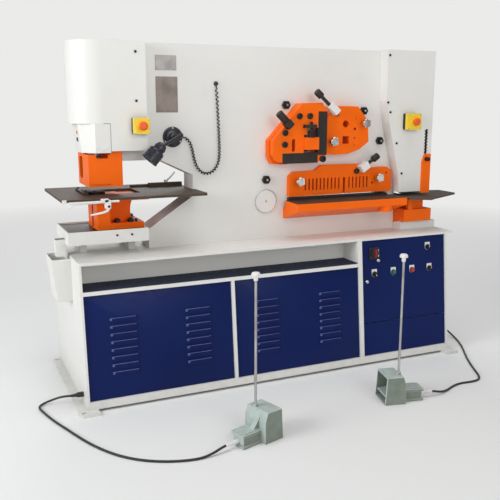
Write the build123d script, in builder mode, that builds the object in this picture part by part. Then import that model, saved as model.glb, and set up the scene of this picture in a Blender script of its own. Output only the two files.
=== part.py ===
from build123d import *
import math
import os

os.makedirs("parts", exist_ok=True)

# Hydraulic ironworker, millimetres. The origin is on the floor in the middle of the four
# anchor slots, +X runs along the machine to the right, the front faces -Y, +Z is up.
# Sizes along the machine are measured from the left end plate, sizes in depth from the
# front edge of the deck, and heights from the top of the deck.

# ---- base cabinet ----
DECK_LENGTH = 2000
DECK_DEPTH = 670
DECK_THICK = 12
DECK_HEIGHT = 656
END_SPAN = 1958
END_THICK = 10
FRONT_LEAN = 0.1
FOOT_THICK = 12
FOOT_OUT = 40
FOOT_IN = 45
FOOT_FRONT = -110
FOOT_REAR = 675
ANCHOR_OUT = 20
ANCHOR_FRONT = -80
ANCHOR_REAR = 640
ANCHOR_WIDE = 18
ANCHOR_LONG = 30
SHEET = 4
SHELF_DEEP = 130
SHELF_DROP = 125
SHELF_END = 1401
MAT_THICK = 6
MAT_MARGIN = 3
RAIL_TALL = 46
RAIL_DEEP = 40
LIP_TALL = 17
POST_1 = 700
POST_1_WIDE = 16
POST_2 = 1401
POST_2_WIDE = 23
POST_DEEP = 30
PANEL_SET_BACK = 9
PANEL_THICK = 3
PANEL_GAP = 1.5
STOP_TALL = 18
PANEL_SPLIT = 442

# ---- louvred doors ----
LOUVRE_LONG = 124
LOUVRE_TALL = 14
LOUVRE_OUT = 7
LOUVRE_SKIN = 1.5
LOUVRE_PITCH = 40
LOUVRE_ROWS = 8
LOUVRE_TOP = 235
DOOR_1_COLUMNS = (172, 523)
DOOR_2_COLUMNS = (876, 1231)

# ---- main frame ----
FRAME_FRONT = 221
PLATE_THICK = 30
PLATE_GAP = 70
FRAME_TOP = 942
FRAME_RIGHT = 1766
ARM_LEFT = 230
ARM_UNDER = 415
THROAT_BACK = 600
THROAT_LOW = 238
THROAT_HIGH = 338
THROAT_MOUTH = 439
FRAME_FOOT = 375
FRAME_FOOT_TALL = 90
SPACER_THICK = 26
COVER_STEP = 12
PIVOT_X = 985
PIVOT_Z = 190
PIVOT_BORE = 90
PIVOT_FIT = 0.05
PIVOT_CAP = 116
PIVOT_CAP_THICK = 8
NUT_ACROSS = 38
NUT_TALL = 16
STUD = 22
BEAM_GAP = 1
BEAM_BOSS = 105

# ---- covers ----
COVER_FRONT = 154
COVER_SKIN = 3
TOWER_RADIUS = 132
TOWER_LEFT = 34
TOWER_RIGHT = 365
TOWER_ROUND_LOW = 585
TOWER_FLAT_LEFT = 196
TOWER_LOW = 464
NOTCH_LEFT = 1651
NOTCH_RIGHT = 1951
NOTCH_TOP = 945
NOTCH_LOW = 205
COVER_SCREW = 12

# ---- punching station ----
PUNCH_X = 145
RAM_BORE = 70
RAM_FIT = 0.05
RAM_TRAVEL = 40
CYLINDER_ROUND = 120
CYLINDER_LOW = 470
NOSE_LOW = 457
PUNCH_NUT = 68
PUNCH_ROUND = 26
PUNCH_TIP = 308
DIE_ROUND = 88
DIE_TOP = 276
DIE_BORE = 28
TABLE_TOP = 270
TABLE_THICK = 12
TABLE_LEFT = -48
TABLE_RIGHT = 611
TABLE_FRONT = 50
TABLE_REAR = 540
FENCE_TALL = 20
TRAY_LEFT = -17
TRAY_RIGHT = 350
TRAY_FRONT = 126
TRAY_REAR = 425
TRAY_LOW = 55
TRAY_TOP = 115
TRAY_WALL = 5
TRAY_INSET = 8
TRAY_PLATE = 12
STRIPPER_LOW = 305
STRIPPER_WALL = 12
STRIPPER_LEFT = 95
STRIPPER_RIGHT = 248
STRIPPER_FRONT = 170
STRIPPER_REAR = 402
STRIPPER_TOP = 449
FLANGE_LEFT = 197

# ---- shearing stations ----
ANGLE_FRONT = 141
BAR_FRONT = 161
HOLD_FRONT = 195
BLADE_TOP = 200
BLADE_THICK = 30
BAR_ROUND_X = 1411
BAR_ROUND_Z = 571
BAR_ROUND = 36
BAR_SQUARE_X = 1412
BAR_SQUARE_Z = 490
BAR_SQUARE = 38
BAR_RELIEF = 12
STAR_ROUND = 46
STAR_THICK = 20
STAR_HUB = 18
STAR_HUB_LONG = 30
CLAMP_ROD = 18
CLAMP_FIT = 0.05
CLAMP_SEAT = 24
CLAMP_KNOB = 34
CLAMP_KNOB_LONG = 37
CLAMP_BLOCK_DEEP = 41
BAR_CLAMP_OUT = 62
FLAT_CLAMP_OUT = 40
LEVER_FIT = 0.3

# ---- notching station ----
NOTCH_TABLE_TOP = 185
NOTCH_TABLE_THICK = 10
NOTCH_PUNCH_X = 1845
NOTCH_PUNCH_WIDE = 60
NOTCH_PUNCH_LOW = 208
GUARD_LEFT = 1889
GUARD_RIGHT = 1945
GUARD_LOW = 196
GUARD_TOP = 406
GUARD_SLOT = 1914

# ---- controls ----
BUTTON_HOLE = 22.4
BUTTON_ROUND = 21.6
BEZEL_ROUND = 29
BEZEL_THICK = 5
BUTTON_OUT = 12
STOP_BOX_DEEP = 46
STOP_ROUND = 40

# ---- lamp ----
LAMP_X = 503
LAMP_Z = 519
LAMP_BASE = 96
GROMMET_X = 723
GROMMET_Z = 765

# ---- foot pedals and cords ----
PEDAL_WIDE = 100
PEDAL_LONG = 126
PEDAL_TALL = 130
PEDAL_WALL = 6
BOX_LONG = 98
BOX_TALL = 60
ROD_ROUND = 11
ROD_HEAD = 36
ROD_TOP = 686
FLOOR_CORD = 10
COIL_ROUND = 15
COIL_Y = 212

# ---- places worked out from the sizes above ----
LEFT_X = -END_SPAN / 2
FRONT_Y = -(ANCHOR_FRONT + ANCHOR_REAR) / 2
DECK_Z = DECK_HEIGHT
FLOOR = -DECK_HEIGHT
FOOT_TOP = FLOOR + FOOT_THICK
DECK_UNDER = -DECK_THICK
FRAME_REAR = FRAME_FRONT + 2 * PLATE_THICK + PLATE_GAP
FRAME_MID = (FRAME_FRONT + FRAME_REAR) / 2
COVER_REAR = 2 * FRAME_MID - COVER_FRONT
TOWER_MID = TOWER_LEFT + TOWER_RADIUS
TABLE_UNDER = TABLE_TOP - TABLE_THICK
FLOOR_RUN = FLOOR + FLOOR_CORD / 2


def face(depth):
    """Upright plane at a depth behind the deck's front edge, drawn in length and height."""
    return Plane(origin=(LEFT_X, FRONT_Y + depth, DECK_Z), x_dir=(1, 0, 0), z_dir=(0, -1, 0))


def level(height):
    """Flat plane at a height above the deck, drawn in length and depth."""
    return Plane(origin=(LEFT_X, FRONT_Y, DECK_Z + height))


def side(along):
    """Upright plane across the machine, drawn in depth and height."""
    return Plane(origin=(LEFT_X + along, FRONT_Y, DECK_Z), x_dir=(0, 1, 0), z_dir=(1, 0, 0))


def lean(height):
    """Depth of the leaning cabinet front at a height."""
    return FRONT_LEAN * height


# The cabinet front leans out towards the floor: drawn in length and distance down the slope.
SLOPE = math.hypot(1, FRONT_LEAN)
FRONT = Plane(origin=(LEFT_X, FRONT_Y, DECK_Z), x_dir=(1, 0, 0), z_dir=(0, -1, FRONT_LEAN))
PANEL = FRONT.offset(-PANEL_SET_BACK)


# ---- base ----
with BuildPart() as deck:
    with BuildSketch(level(DECK_UNDER)):
        with Locations((DECK_LENGTH / 2, DECK_DEPTH / 2)):
            RectangleRounded(DECK_LENGTH, DECK_DEPTH, 4)
    extrude(amount=DECK_THICK)

end_profile = [
    (lean(DECK_UNDER), DECK_UNDER),
    (DECK_DEPTH, DECK_UNDER),
    (DECK_DEPTH, FOOT_TOP),
    (lean(FOOT_TOP), FOOT_TOP),
]

with BuildPart() as end_frames:
    with BuildSketch(side(0)):
        with BuildLine():
            Polyline(*end_profile, close=True)
        make_face()
    extrude(amount=END_THICK)
    with BuildSketch(level(FLOOR)) as foot_left:
        with BuildLine():
            Polyline(
                (-FOOT_OUT + 12, FOOT_FRONT),
                (FOOT_IN, FOOT_FRONT),
                (FOOT_IN, FOOT_REAR),
                (-FOOT_OUT + 12, FOOT_REAR),
                (-FOOT_OUT, FOOT_REAR - 12),
                (-FOOT_OUT, FOOT_FRONT + 12),
                close=True,
            )
        make_face()
        with Locations((-ANCHOR_OUT, ANCHOR_FRONT), (-ANCHOR_OUT, ANCHOR_REAR)):
            SlotOverall(ANCHOR_LONG, ANCHOR_WIDE, mode=Mode.SUBTRACT)
    extrude(amount=FOOT_THICK)
    mirror(about=Plane.YZ)

with BuildPart() as base_frame:
    # bottom rail, a channel with its open side to the rear
    with BuildSketch(side(END_THICK)):
        with BuildLine():
            Polyline(
                (lean(FOOT_TOP), FOOT_TOP),
                (lean(FLOOR + RAIL_TALL), FLOOR + RAIL_TALL),
                (lean(FLOOR + RAIL_TALL) + RAIL_DEEP, FLOOR + RAIL_TALL),
                (lean(FLOOR + RAIL_TALL) + RAIL_DEEP, FLOOR + RAIL_TALL - SHEET),
                (lean(FLOOR + RAIL_TALL) + SHEET, FLOOR + RAIL_TALL - SHEET),
                (lean(FOOT_TOP) + SHEET, FOOT_TOP),
                close=True,
            )
        make_face()
    extrude(amount=END_SPAN - 2 * END_THICK)
    # door posts behind the leaning front
    for left, wide, top in (
        (POST_1, POST_1_WIDE, SHELF_DROP + LIP_TALL),
        (POST_2, POST_2_WIDE, DECK_THICK),
    ):
        with BuildSketch(side(left)):
            with BuildLine():
                Polyline(
                    (lean(-top), -top),
                    (lean(-top) + POST_DEEP, -top),
                    (lean(FLOOR + RAIL_TALL) + POST_DEEP, FLOOR + RAIL_TALL),
                    (lean(FLOOR + RAIL_TALL), FLOOR + RAIL_TALL),
                    close=True,
                )
            make_face()
        extrude(amount=wide)
    # shelf folded from one sheet: front lip, floor and back wall
    with BuildSketch(side(END_THICK)):
        with BuildLine():
            Polyline(
                (lean(-SHELF_DROP - LIP_TALL), -SHELF_DROP - LIP_TALL),
                (lean(-SHELF_DROP), -SHELF_DROP),
                (SHELF_DEEP, -SHELF_DROP),
                (SHELF_DEEP, DECK_UNDER),
                (SHELF_DEEP + SHEET, DECK_UNDER),
                (SHELF_DEEP + SHEET, -SHELF_DROP - SHEET),
                (lean(-SHELF_DROP) + SHEET, -SHELF_DROP - SHEET),
                (lean(-SHELF_DROP - LIP_TALL) + SHEET, -SHELF_DROP - LIP_TALL),
                close=True,
            )
        make_face()
    extrude(amount=SHELF_END - END_THICK)
    # closed end of the shelf
    with BuildSketch(side(SHELF_END)):
        with BuildLine():
            Polyline(
                (lean(DECK_UNDER), DECK_UNDER),
                (SHELF_DEEP + SHEET, DECK_UNDER),
                (SHELF_DEEP + SHEET, -SHELF_DROP - SHEET),
                (lean(-SHELF_DROP - SHEET), -SHELF_DROP - SHEET),
                close=True,
            )
        make_face()
    extrude(amount=-SHEET)
    # strip along the rail that the doors and panels stand against
    with BuildSketch(PANEL.offset(-PANEL_THICK)):
        with Locations((END_THICK, (FLOOR + RAIL_TALL) * SLOPE)):
            Rectangle(END_SPAN - 2 * END_THICK, STOP_TALL, align=(Align.MIN, Align.MIN))
    extrude(amount=-PANEL_THICK)
    # back sheet
    with BuildSketch(face(DECK_DEPTH)):
        with Locations((END_SPAN / 2, (DECK_UNDER + FOOT_TOP) / 2)):
            Rectangle(END_SPAN - 2 * END_THICK, DECK_UNDER - FOOT_TOP)
    extrude(amount=SHEET)

with BuildPart() as shelf_mat:
    with BuildSketch(level(-SHELF_DROP)):
        with Locations((END_THICK + MAT_MARGIN, lean(-SHELF_DROP) + MAT_MARGIN)):
            Rectangle(
                SHELF_END - SHEET - END_THICK - 2 * MAT_MARGIN,
                SHELF_DEEP - lean(-SHELF_DROP) - 2 * MAT_MARGIN,
                align=(Align.MIN, Align.MIN),
            )
    extrude(amount=MAT_THICK)

DOOR_TOP = -(SHELF_DROP + LIP_TALL) * SLOPE - PANEL_GAP
DOOR_LOW = (FLOOR + RAIL_TALL) * SLOPE + PANEL_GAP
LOUVRE_MID = -LOUVRE_TOP - LOUVRE_PITCH * (LOUVRE_ROWS - 1) / 2
COLUMN_1 = sum(DOOR_1_COLUMNS) / 2
COLUMN_2 = sum(DOOR_2_COLUMNS) / 2

with BuildPart() as door_left:
    with BuildSketch(PANEL):
        with Locations((END_THICK + PANEL_GAP, DOOR_LOW)):
            Rectangle(
                POST_1 - END_THICK - 2 * PANEL_GAP, DOOR_TOP - DOOR_LOW, align=(Align.MIN, Align.MIN)
            )
    extrude(amount=-PANEL_THICK)
    with BuildSketch(PANEL):
        with Locations((COLUMN_1, LOUVRE_MID)):
            with GridLocations(DOOR_1_COLUMNS[1] - DOOR_1_COLUMNS[0], LOUVRE_PITCH, 2, LOUVRE_ROWS):
                Rectangle(LOUVRE_LONG, LOUVRE_TALL)
    extrude(amount=LOUVRE_OUT, taper=40)
    with BuildSketch(PANEL.offset(-PANEL_THICK)):
        with Locations((COLUMN_1, LOUVRE_MID - LOUVRE_TALL / 2)):
            with GridLocations(DOOR_1_COLUMNS[1] - DOOR_1_COLUMNS[0], LOUVRE_PITCH, 2, LOUVRE_ROWS):
                Rectangle(LOUVRE_LONG - 14, LOUVRE_TALL)
    extrude(amount=PANEL_THICK + LOUVRE_OUT - LOUVRE_SKIN, mode=Mode.SUBTRACT)

with BuildPart() as door_middle:
    with BuildSketch(PANEL):
        with Locations((POST_1 + POST_1_WIDE + PANEL_GAP, DOOR_LOW)):
            Rectangle(
                POST_2 - POST_1 - POST_1_WIDE - 2 * PANEL_GAP,
                DOOR_TOP - DOOR_LOW,
                align=(Align.MIN, Align.MIN),
            )
    extrude(amount=-PANEL_THICK)
    with BuildSketch(PANEL):
        with Locations((COLUMN_2, LOUVRE_MID)):
            with GridLocations(DOOR_2_COLUMNS[1] - DOOR_2_COLUMNS[0], LOUVRE_PITCH, 2, LOUVRE_ROWS):
                Rectangle(LOUVRE_LONG, LOUVRE_TALL)
    extrude(amount=LOUVRE_OUT, taper=40)
    with BuildSketch(PANEL.offset(-PANEL_THICK)):
        with Locations((COLUMN_2, LOUVRE_MID - LOUVRE_TALL / 2)):
            with GridLocations(DOOR_2_COLUMNS[1] - DOOR_2_COLUMNS[0], LOUVRE_PITCH, 2, LOUVRE_ROWS):
                Rectangle(LOUVRE_LONG - 14, LOUVRE_TALL)
    extrude(amount=PANEL_THICK + LOUVRE_OUT - LOUVRE_SKIN, mode=Mode.SUBTRACT)

# ---- control panel and its fittings, all on the leaning front ----
CONTROL_LEFT = POST_2 + POST_2_WIDE + PANEL_GAP
CONTROL_RIGHT = END_SPAN - END_THICK - PANEL_GAP
CONTROL_TOP = DECK_UNDER * SLOPE - PANEL_GAP


def control(share, height):
    """A place on the control panel, at a share of its width."""
    return (CONTROL_LEFT + share * (CONTROL_RIGHT - CONTROL_LEFT), height)


START = control(0.368, -189)
STOP = control(0.594, -188)
SELECTOR_TOP = control(0.79, -74)
SELECTOR_LEFT = control(0.143, -189)
SELECTOR_RIGHT = control(0.809, -189)
MAIN_SWITCH = control(0.141, -80)
KEYS = (control(0.189, -119), control(0.055, -224))

with BuildPart() as control_panel:
    with BuildSketch(PANEL):
        with BuildLine():
            Polyline(
                (CONTROL_LEFT, -PANEL_SPLIT + PANEL_GAP),
                (CONTROL_RIGHT, -PANEL_SPLIT + PANEL_GAP),
                (CONTROL_RIGHT, CONTROL_TOP),
                (CONTROL_LEFT, CONTROL_TOP),
                close=True,
            )
        make_face()
        with Locations(START, STOP, SELECTOR_TOP, SELECTOR_LEFT, SELECTOR_RIGHT, MAIN_SWITCH):
            Circle(BUTTON_HOLE / 2, mode=Mode.SUBTRACT)
    extrude(amount=-PANEL_THICK)

    with BuildSketch(PANEL):
        with Locations((CONTROL_LEFT, DOOR_LOW)):
            Rectangle(
                CONTROL_RIGHT - CONTROL_LEFT,
                -PANEL_SPLIT - PANEL_GAP - DOOR_LOW,
                align=(Align.MIN, Align.MIN),
            )
    extrude(amount=-PANEL_THICK)

with BuildPart() as control_bezels:
    with BuildSketch(PANEL):
        with Locations(START, STOP, SELECTOR_TOP, SELECTOR_LEFT, SELECTOR_RIGHT):
            Circle(BEZEL_ROUND / 2)
            Circle(BUTTON_HOLE / 2, mode=Mode.SUBTRACT)
    extrude(amount=BEZEL_THICK)
    with BuildSketch(PANEL):
        with Locations(MAIN_SWITCH):
            RectangleRounded(60, 60, 5)
            Circle(BUTTON_HOLE / 2, mode=Mode.SUBTRACT)
        with Locations(*KEYS):
            Circle(8)
    extrude(amount=6)

with BuildPart() as start_button:
    with BuildSketch(PANEL.offset(-16)):
        with Locations(START):
            Circle(BUTTON_ROUND / 2)
    extrude(amount=16 + BUTTON_OUT)
    chamfer(edges().filter_by(GeomType.CIRCLE).sort_by(Axis.Y)[0], 1)

with BuildPart() as stop_button:
    with BuildSketch(PANEL.offset(-16)):
        with Locations(STOP):
            Circle(BUTTON_ROUND / 2)
    extrude(amount=16 + BUTTON_OUT)
    chamfer(edges().filter_by(GeomType.CIRCLE).sort_by(Axis.Y)[0], 1)


def selector(place, tilt):
    """A switch knob: a round shank with a grip bar across its face."""
    with BuildPart() as knob:
        with BuildSketch(PANEL.offset(-16)):
            with Locations(place):
                Circle(BUTTON_ROUND / 2)
        extrude(amount=16 + BUTTON_OUT - 3)
        with BuildSketch(PANEL.offset(BUTTON_OUT - 3)):
            with Locations(Location((*place, 0), tilt)):
                SlotOverall(BUTTON_ROUND + 2, 8)
        extrude(amount=9, taper=4)
    return knob


selector_top = selector(SELECTOR_TOP, 60)
selector_left = selector(SELECTOR_LEFT, 120)
selector_right = selector(SELECTOR_RIGHT, 60)

with BuildPart() as main_switch:
    with BuildSketch(PANEL.offset(-16)):
        with Locations(MAIN_SWITCH):
            Circle(BUTTON_ROUND / 2)
    extrude(amount=16 + 7)
    with BuildSketch(PANEL.offset(6.5)):
        with Locations(MAIN_SWITCH):
            Circle(22)
    extrude(amount=8)
    with BuildSketch(PANEL.offset(14.5)):
        with Locations(MAIN_SWITCH):
            SlotOverall(40, 11, rotation=90)
    extrude(amount=12, taper=4)

# ---- slug box on the left end plate, a bin open at the top with a leaning outer wall ----
BOX_FRONT = 188
BOX_REAR = 357
BOX_OUT = 84
BOX_OUT_LOW = 66
BOX_TOP = -14
BOX_LOW = -210

with BuildPart() as slug_box:
    with BuildSketch(face(BOX_REAR)):
        with BuildLine():
            Polyline((0, BOX_LOW), (0, BOX_TOP), (-BOX_OUT, BOX_TOP), (-BOX_OUT_LOW, BOX_LOW), close=True)
        make_face()
    extrude(amount=BOX_REAR - BOX_FRONT)
    with BuildSketch(face(BOX_REAR - COVER_SKIN)):
        with BuildLine():
            Polyline(
                (-COVER_SKIN, BOX_LOW + COVER_SKIN),
                (-COVER_SKIN, BOX_TOP),
                (-BOX_OUT + COVER_SKIN, BOX_TOP),
                (-BOX_OUT_LOW + COVER_SKIN, BOX_LOW + COVER_SKIN),
                close=True,
            )
        make_face()
    extrude(amount=BOX_REAR - BOX_FRONT - 2 * COVER_SKIN, mode=Mode.SUBTRACT)

GLAND_LEFT = (33, FLOOR + 54)
GLAND_RIGHT = (250, FLOOR + 96)
GLAND_ROUND = 24
GLAND_LONG = 22

with BuildPart() as cable_glands:
    with BuildSketch(side(-GLAND_LONG)):
        with Locations(GLAND_LEFT):
            RegularPolygon(GLAND_ROUND / 2, 6)
    extrude(amount=GLAND_LONG)
    with BuildSketch(side(END_SPAN)):
        with Locations(GLAND_RIGHT):
            RegularPolygon(GLAND_ROUND / 2, 6)
    extrude(amount=GLAND_LONG)

# ---- main frame ----
frame_outline = [
    (FRAME_FOOT, 0),
    (FRAME_FOOT, FRAME_FOOT_TALL),
    (THROAT_BACK, THROAT_LOW),
    (THROAT_BACK, THROAT_HIGH),
    (THROAT_MOUTH, ARM_UNDER),
    (ARM_LEFT, ARM_UNDER),
    (ARM_LEFT, FRAME_TOP - COVER_STEP),
    (TOWER_RIGHT, FRAME_TOP - COVER_STEP),
    (TOWER_RIGHT, FRAME_TOP),
    (NOTCH_LEFT, FRAME_TOP),
    (NOTCH_LEFT, FRAME_TOP - COVER_STEP),
    (FRAME_RIGHT, FRAME_TOP - COVER_STEP),
    (FRAME_RIGHT, 0),
]
NUTS = ((1094, 666), (986, 299), (1655, 479), (1550, 636))
WINDOW_LEFT = 1108
WINDOW_RIGHT = 1706
WINDOW_LOW = 150
WINDOW_HIGH = 300
POCKET_LEFT = 1158
POCKET_RIGHT = 1238
POCKET_LOW = 432
POCKET_HIGH = 562
POCKET_STEP = 521
POCKET_UPPER = 1176

for name in ("front", "rear"):
    with BuildPart() as plate:
        with BuildSketch(face(FRAME_FRONT + PLATE_THICK if name == "front" else FRAME_REAR)):
            with BuildLine():
                Polyline(*frame_outline, close=True)
            make_face()
            with Locations((PIVOT_X, PIVOT_Z)):
                Circle(PIVOT_BORE / 2, mode=Mode.SUBTRACT)
            with Locations(((WINDOW_LEFT + WINDOW_RIGHT) / 2, (WINDOW_LOW + WINDOW_HIGH) / 2)):
                Rectangle(WINDOW_RIGHT - WINDOW_LEFT, WINDOW_HIGH - WINDOW_LOW, mode=Mode.SUBTRACT)
            with Locations(((POCKET_LEFT + POCKET_RIGHT) / 2, (POCKET_LOW + POCKET_HIGH) / 2)):
                Rectangle(POCKET_RIGHT - POCKET_LEFT, POCKET_HIGH - POCKET_LOW, mode=Mode.SUBTRACT)
            with Locations((BAR_ROUND_X, BAR_ROUND_Z)):
                Circle(BAR_ROUND / 2 + BAR_RELIEF, mode=Mode.SUBTRACT)
            with Locations((BAR_SQUARE_X, BAR_SQUARE_Z)):
                Rectangle(BAR_SQUARE + BAR_RELIEF, BAR_SQUARE + BAR_RELIEF, mode=Mode.SUBTRACT)
        extrude(amount=PLATE_THICK)
    if name == "front":
        frame_plate_front = plate
    else:
        frame_plate_rear = plate

# ---- spacers between the plates, the pivot pin and the adjusting nuts ----
with BuildPart() as frame_spacers:
    with BuildSketch(face(FRAME_REAR - PLATE_THICK)):
        with BuildLine():
            Polyline(*frame_outline, close=True)
        make_face()
        offset(amount=-SPACER_THICK, kind=Kind.INTERSECTION, mode=Mode.SUBTRACT)
        # the right end stays open for the shear beam, the left end for the ram
        with Locations((FRAME_RIGHT, FRAME_TOP / 2)):
            Rectangle(2 * SPACER_THICK + 60, FRAME_TOP, mode=Mode.SUBTRACT)
        with Locations((ARM_LEFT, FRAME_TOP / 2 + ARM_UNDER)):
            Rectangle(2 * SPACER_THICK, FRAME_TOP, mode=Mode.SUBTRACT)
    extrude(amount=PLATE_GAP)
    # pivot pin with a cap on each face
    with BuildSketch(face(FRAME_REAR)):
        with Locations((PIVOT_X, PIVOT_Z)):
            Circle(PIVOT_BORE / 2)
    extrude(amount=FRAME_REAR - FRAME_FRONT)
    with BuildSketch(face(FRAME_FRONT)):
        with Locations((PIVOT_X, PIVOT_Z)):
            Circle(PIVOT_CAP / 2)
    extrude(amount=PIVOT_CAP_THICK, taper=15)
    with BuildSketch(face(FRAME_REAR + PIVOT_CAP_THICK)):
        with Locations((PIVOT_X, PIVOT_Z)):
            Circle(PIVOT_CAP / 2)
    extrude(amount=PIVOT_CAP_THICK)
    # nuts of the guide adjusters, each on its stud
    with BuildSketch(face(FRAME_FRONT)):
        with Locations(*NUTS):
            RegularPolygon(NUT_ACROSS / 2, 6, major_radius=False)
    extrude(amount=NUT_TALL)
    with BuildSketch(face(FRAME_FRONT - NUT_TALL)):
        with Locations(*NUTS):
            Circle(STUD / 2)
    extrude(amount=8)

BEAM_FRONT = FRAME_FRONT + PLATE_THICK + BEAM_GAP
BEAM_REAR = FRAME_REAR - PLATE_THICK - BEAM_GAP
BLADE_LEFT = WINDOW_LEFT + 2
BLADE_RIGHT = WINDOW_RIGHT - 2
BEAM_END = NOTCH_RIGHT - COVER_SKIN - 12

with BuildPart() as shear_beam:
    with BuildSketch(face(BEAM_REAR)):
        with BuildLine():
            Polyline(
                (PIVOT_X - 85, 150),
                (PIVOT_X + 75, 118),
                (BLADE_LEFT, BLADE_TOP + 12),
                (BLADE_RIGHT, BLADE_TOP + 28),
                (FRAME_RIGHT, BLADE_TOP + 58),
                (BEAM_END, BLADE_TOP + 70),
                (BEAM_END, 420),
                (1700, 560),
                (1540, 700),
                (1150, 700),
                (1050, 560),
                (PIVOT_X - 85, 260),
                close=True,
            )
        make_face()
        with Locations((PIVOT_X, PIVOT_Z)):
            Circle(BEAM_BOSS)
            Circle(PIVOT_BORE / 2 + PIVOT_FIT, mode=Mode.SUBTRACT)
        with Locations(((POCKET_LEFT + POCKET_RIGHT) / 2, (POCKET_LOW + POCKET_HIGH) / 2)):
            Rectangle(POCKET_RIGHT - POCKET_LEFT + 16, POCKET_HIGH - POCKET_LOW + 16, mode=Mode.SUBTRACT)
        with Locations((BAR_ROUND_X, BAR_ROUND_Z)):
            Circle(BAR_ROUND / 2 + 1, mode=Mode.SUBTRACT)
        with Locations((BAR_SQUARE_X, BAR_SQUARE_Z)):
            Rectangle(BAR_SQUARE + 2, BAR_SQUARE + 2, mode=Mode.SUBTRACT)
    extrude(amount=BEAM_REAR - BEAM_FRONT)
    # notching punch hanging from the end of the beam, with a square nose
    with BuildSketch(level(NOTCH_PUNCH_LOW)):
        with Locations((NOTCH_PUNCH_X, FRAME_MID)):
            Rectangle(NOTCH_PUNCH_WIDE, BEAM_REAR - BEAM_FRONT)
    extrude(amount=BLADE_TOP + 80 - NOTCH_PUNCH_LOW)

# ---- covers ----
# tower cover: half round at the left, flat at the front, closed on top, open below
with BuildPart() as tower_cover:
    for skin, low, high, mode in (
        (0, TOWER_ROUND_LOW, FRAME_TOP, Mode.ADD),
        (COVER_SKIN, TOWER_ROUND_LOW, FRAME_TOP - COVER_SKIN, Mode.SUBTRACT),
    ):
        with BuildSketch(level(low)):
            with BuildLine():
                Line((TOWER_RIGHT - skin, COVER_FRONT + skin), (TOWER_MID, COVER_FRONT + skin))
                ThreePointArc(
                    (TOWER_MID, COVER_FRONT + skin),
                    (TOWER_LEFT + skin, FRAME_MID),
                    (TOWER_MID, COVER_REAR - skin),
                )
                Polyline(
                    (TOWER_MID, COVER_REAR - skin),
                    (TOWER_RIGHT - skin, COVER_REAR - skin),
                    (TOWER_RIGHT - skin, COVER_FRONT + skin),
                )
            make_face()
        extrude(amount=high - low, mode=mode)
    # the flat part reaches lower
    with BuildSketch(level(TOWER_LOW)):
        with Locations(((TOWER_FLAT_LEFT + TOWER_RIGHT) / 2, FRAME_MID)):
            Rectangle(TOWER_RIGHT - TOWER_FLAT_LEFT, COVER_REAR - COVER_FRONT)
            Rectangle(
                TOWER_RIGHT - TOWER_FLAT_LEFT - 2 * COVER_SKIN,
                COVER_REAR - COVER_FRONT - 2 * COVER_SKIN,
                mode=Mode.SUBTRACT,
            )
    extrude(amount=TOWER_ROUND_LOW - TOWER_LOW)
    # way for the frame plates and the cylinder
    with BuildSketch(level(TOWER_LOW)):
        with Locations((TOWER_RIGHT, FRAME_MID)):
            Rectangle(20, FRAME_REAR - FRAME_FRONT, mode=Mode.ADD)
        with Locations((TOWER_FLAT_LEFT, FRAME_MID)):
            Rectangle(20, COVER_REAR - COVER_FRONT - 2 * COVER_SKIN, mode=Mode.ADD)
    extrude(amount=FRAME_TOP - COVER_STEP - TOWER_LOW, mode=Mode.SUBTRACT)
    # cover screws
    with BuildSketch(face(COVER_FRONT)):
        with Locations((319, 896), (317, 684)):
            Circle(COVER_SCREW / 2)
    extrude(amount=3)

# nose cover: folded sheet narrowing downwards round the ram
NOSE_FOLD = 128
NOSE_SIDE = 215
NOSE_TOP_LEFT = 64
NOSE_LOW_LEFT = 77

with BuildPart() as nose_cover:
    for skin, mode in ((0, Mode.ADD), (COVER_SKIN, Mode.SUBTRACT)):
        for height, left in (
            (NOSE_LOW + skin, NOSE_LOW_LEFT),
            (TOWER_ROUND_LOW, NOSE_TOP_LEFT),
        ):
            with BuildSketch(level(height)):
                with BuildLine():
                    Polyline(
                        (TOWER_FLAT_LEFT + skin, COVER_FRONT + 1 + skin),
                        (NOSE_FOLD, COVER_FRONT + 1 + skin),
                        (left + skin, NOSE_SIDE),
                        (left + skin, 2 * FRAME_MID - NOSE_SIDE),
                        (NOSE_FOLD, COVER_REAR - 1 - skin),
                        (TOWER_FLAT_LEFT + skin, COVER_REAR - 1 - skin),
                        close=True,
                    )
                make_face()
        loft(mode=mode)
    # hole for the ram in the bottom sheet
    with BuildSketch(level(NOSE_LOW)):
        with Locations((PUNCH_X, FRAME_MID)):
            Circle(PUNCH_NUT / 2 + 4)
    extrude(amount=COVER_SKIN, mode=Mode.SUBTRACT)
    with BuildSketch(face(COVER_FRONT + 1)):
        with Locations((139, 479), (160, 469), (178, 479)):
            Circle(4)
    extrude(amount=2)

notch_outline = [
    (NOTCH_LEFT, NOTCH_TOP),
    (NOTCH_LEFT, 686),
    (1680, 541),
    (1712, 417),
    (1742, 297),
    (1750, NOTCH_LOW),
    (NOTCH_RIGHT, NOTCH_LOW),
    (NOTCH_RIGHT, NOTCH_TOP),
]

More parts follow.
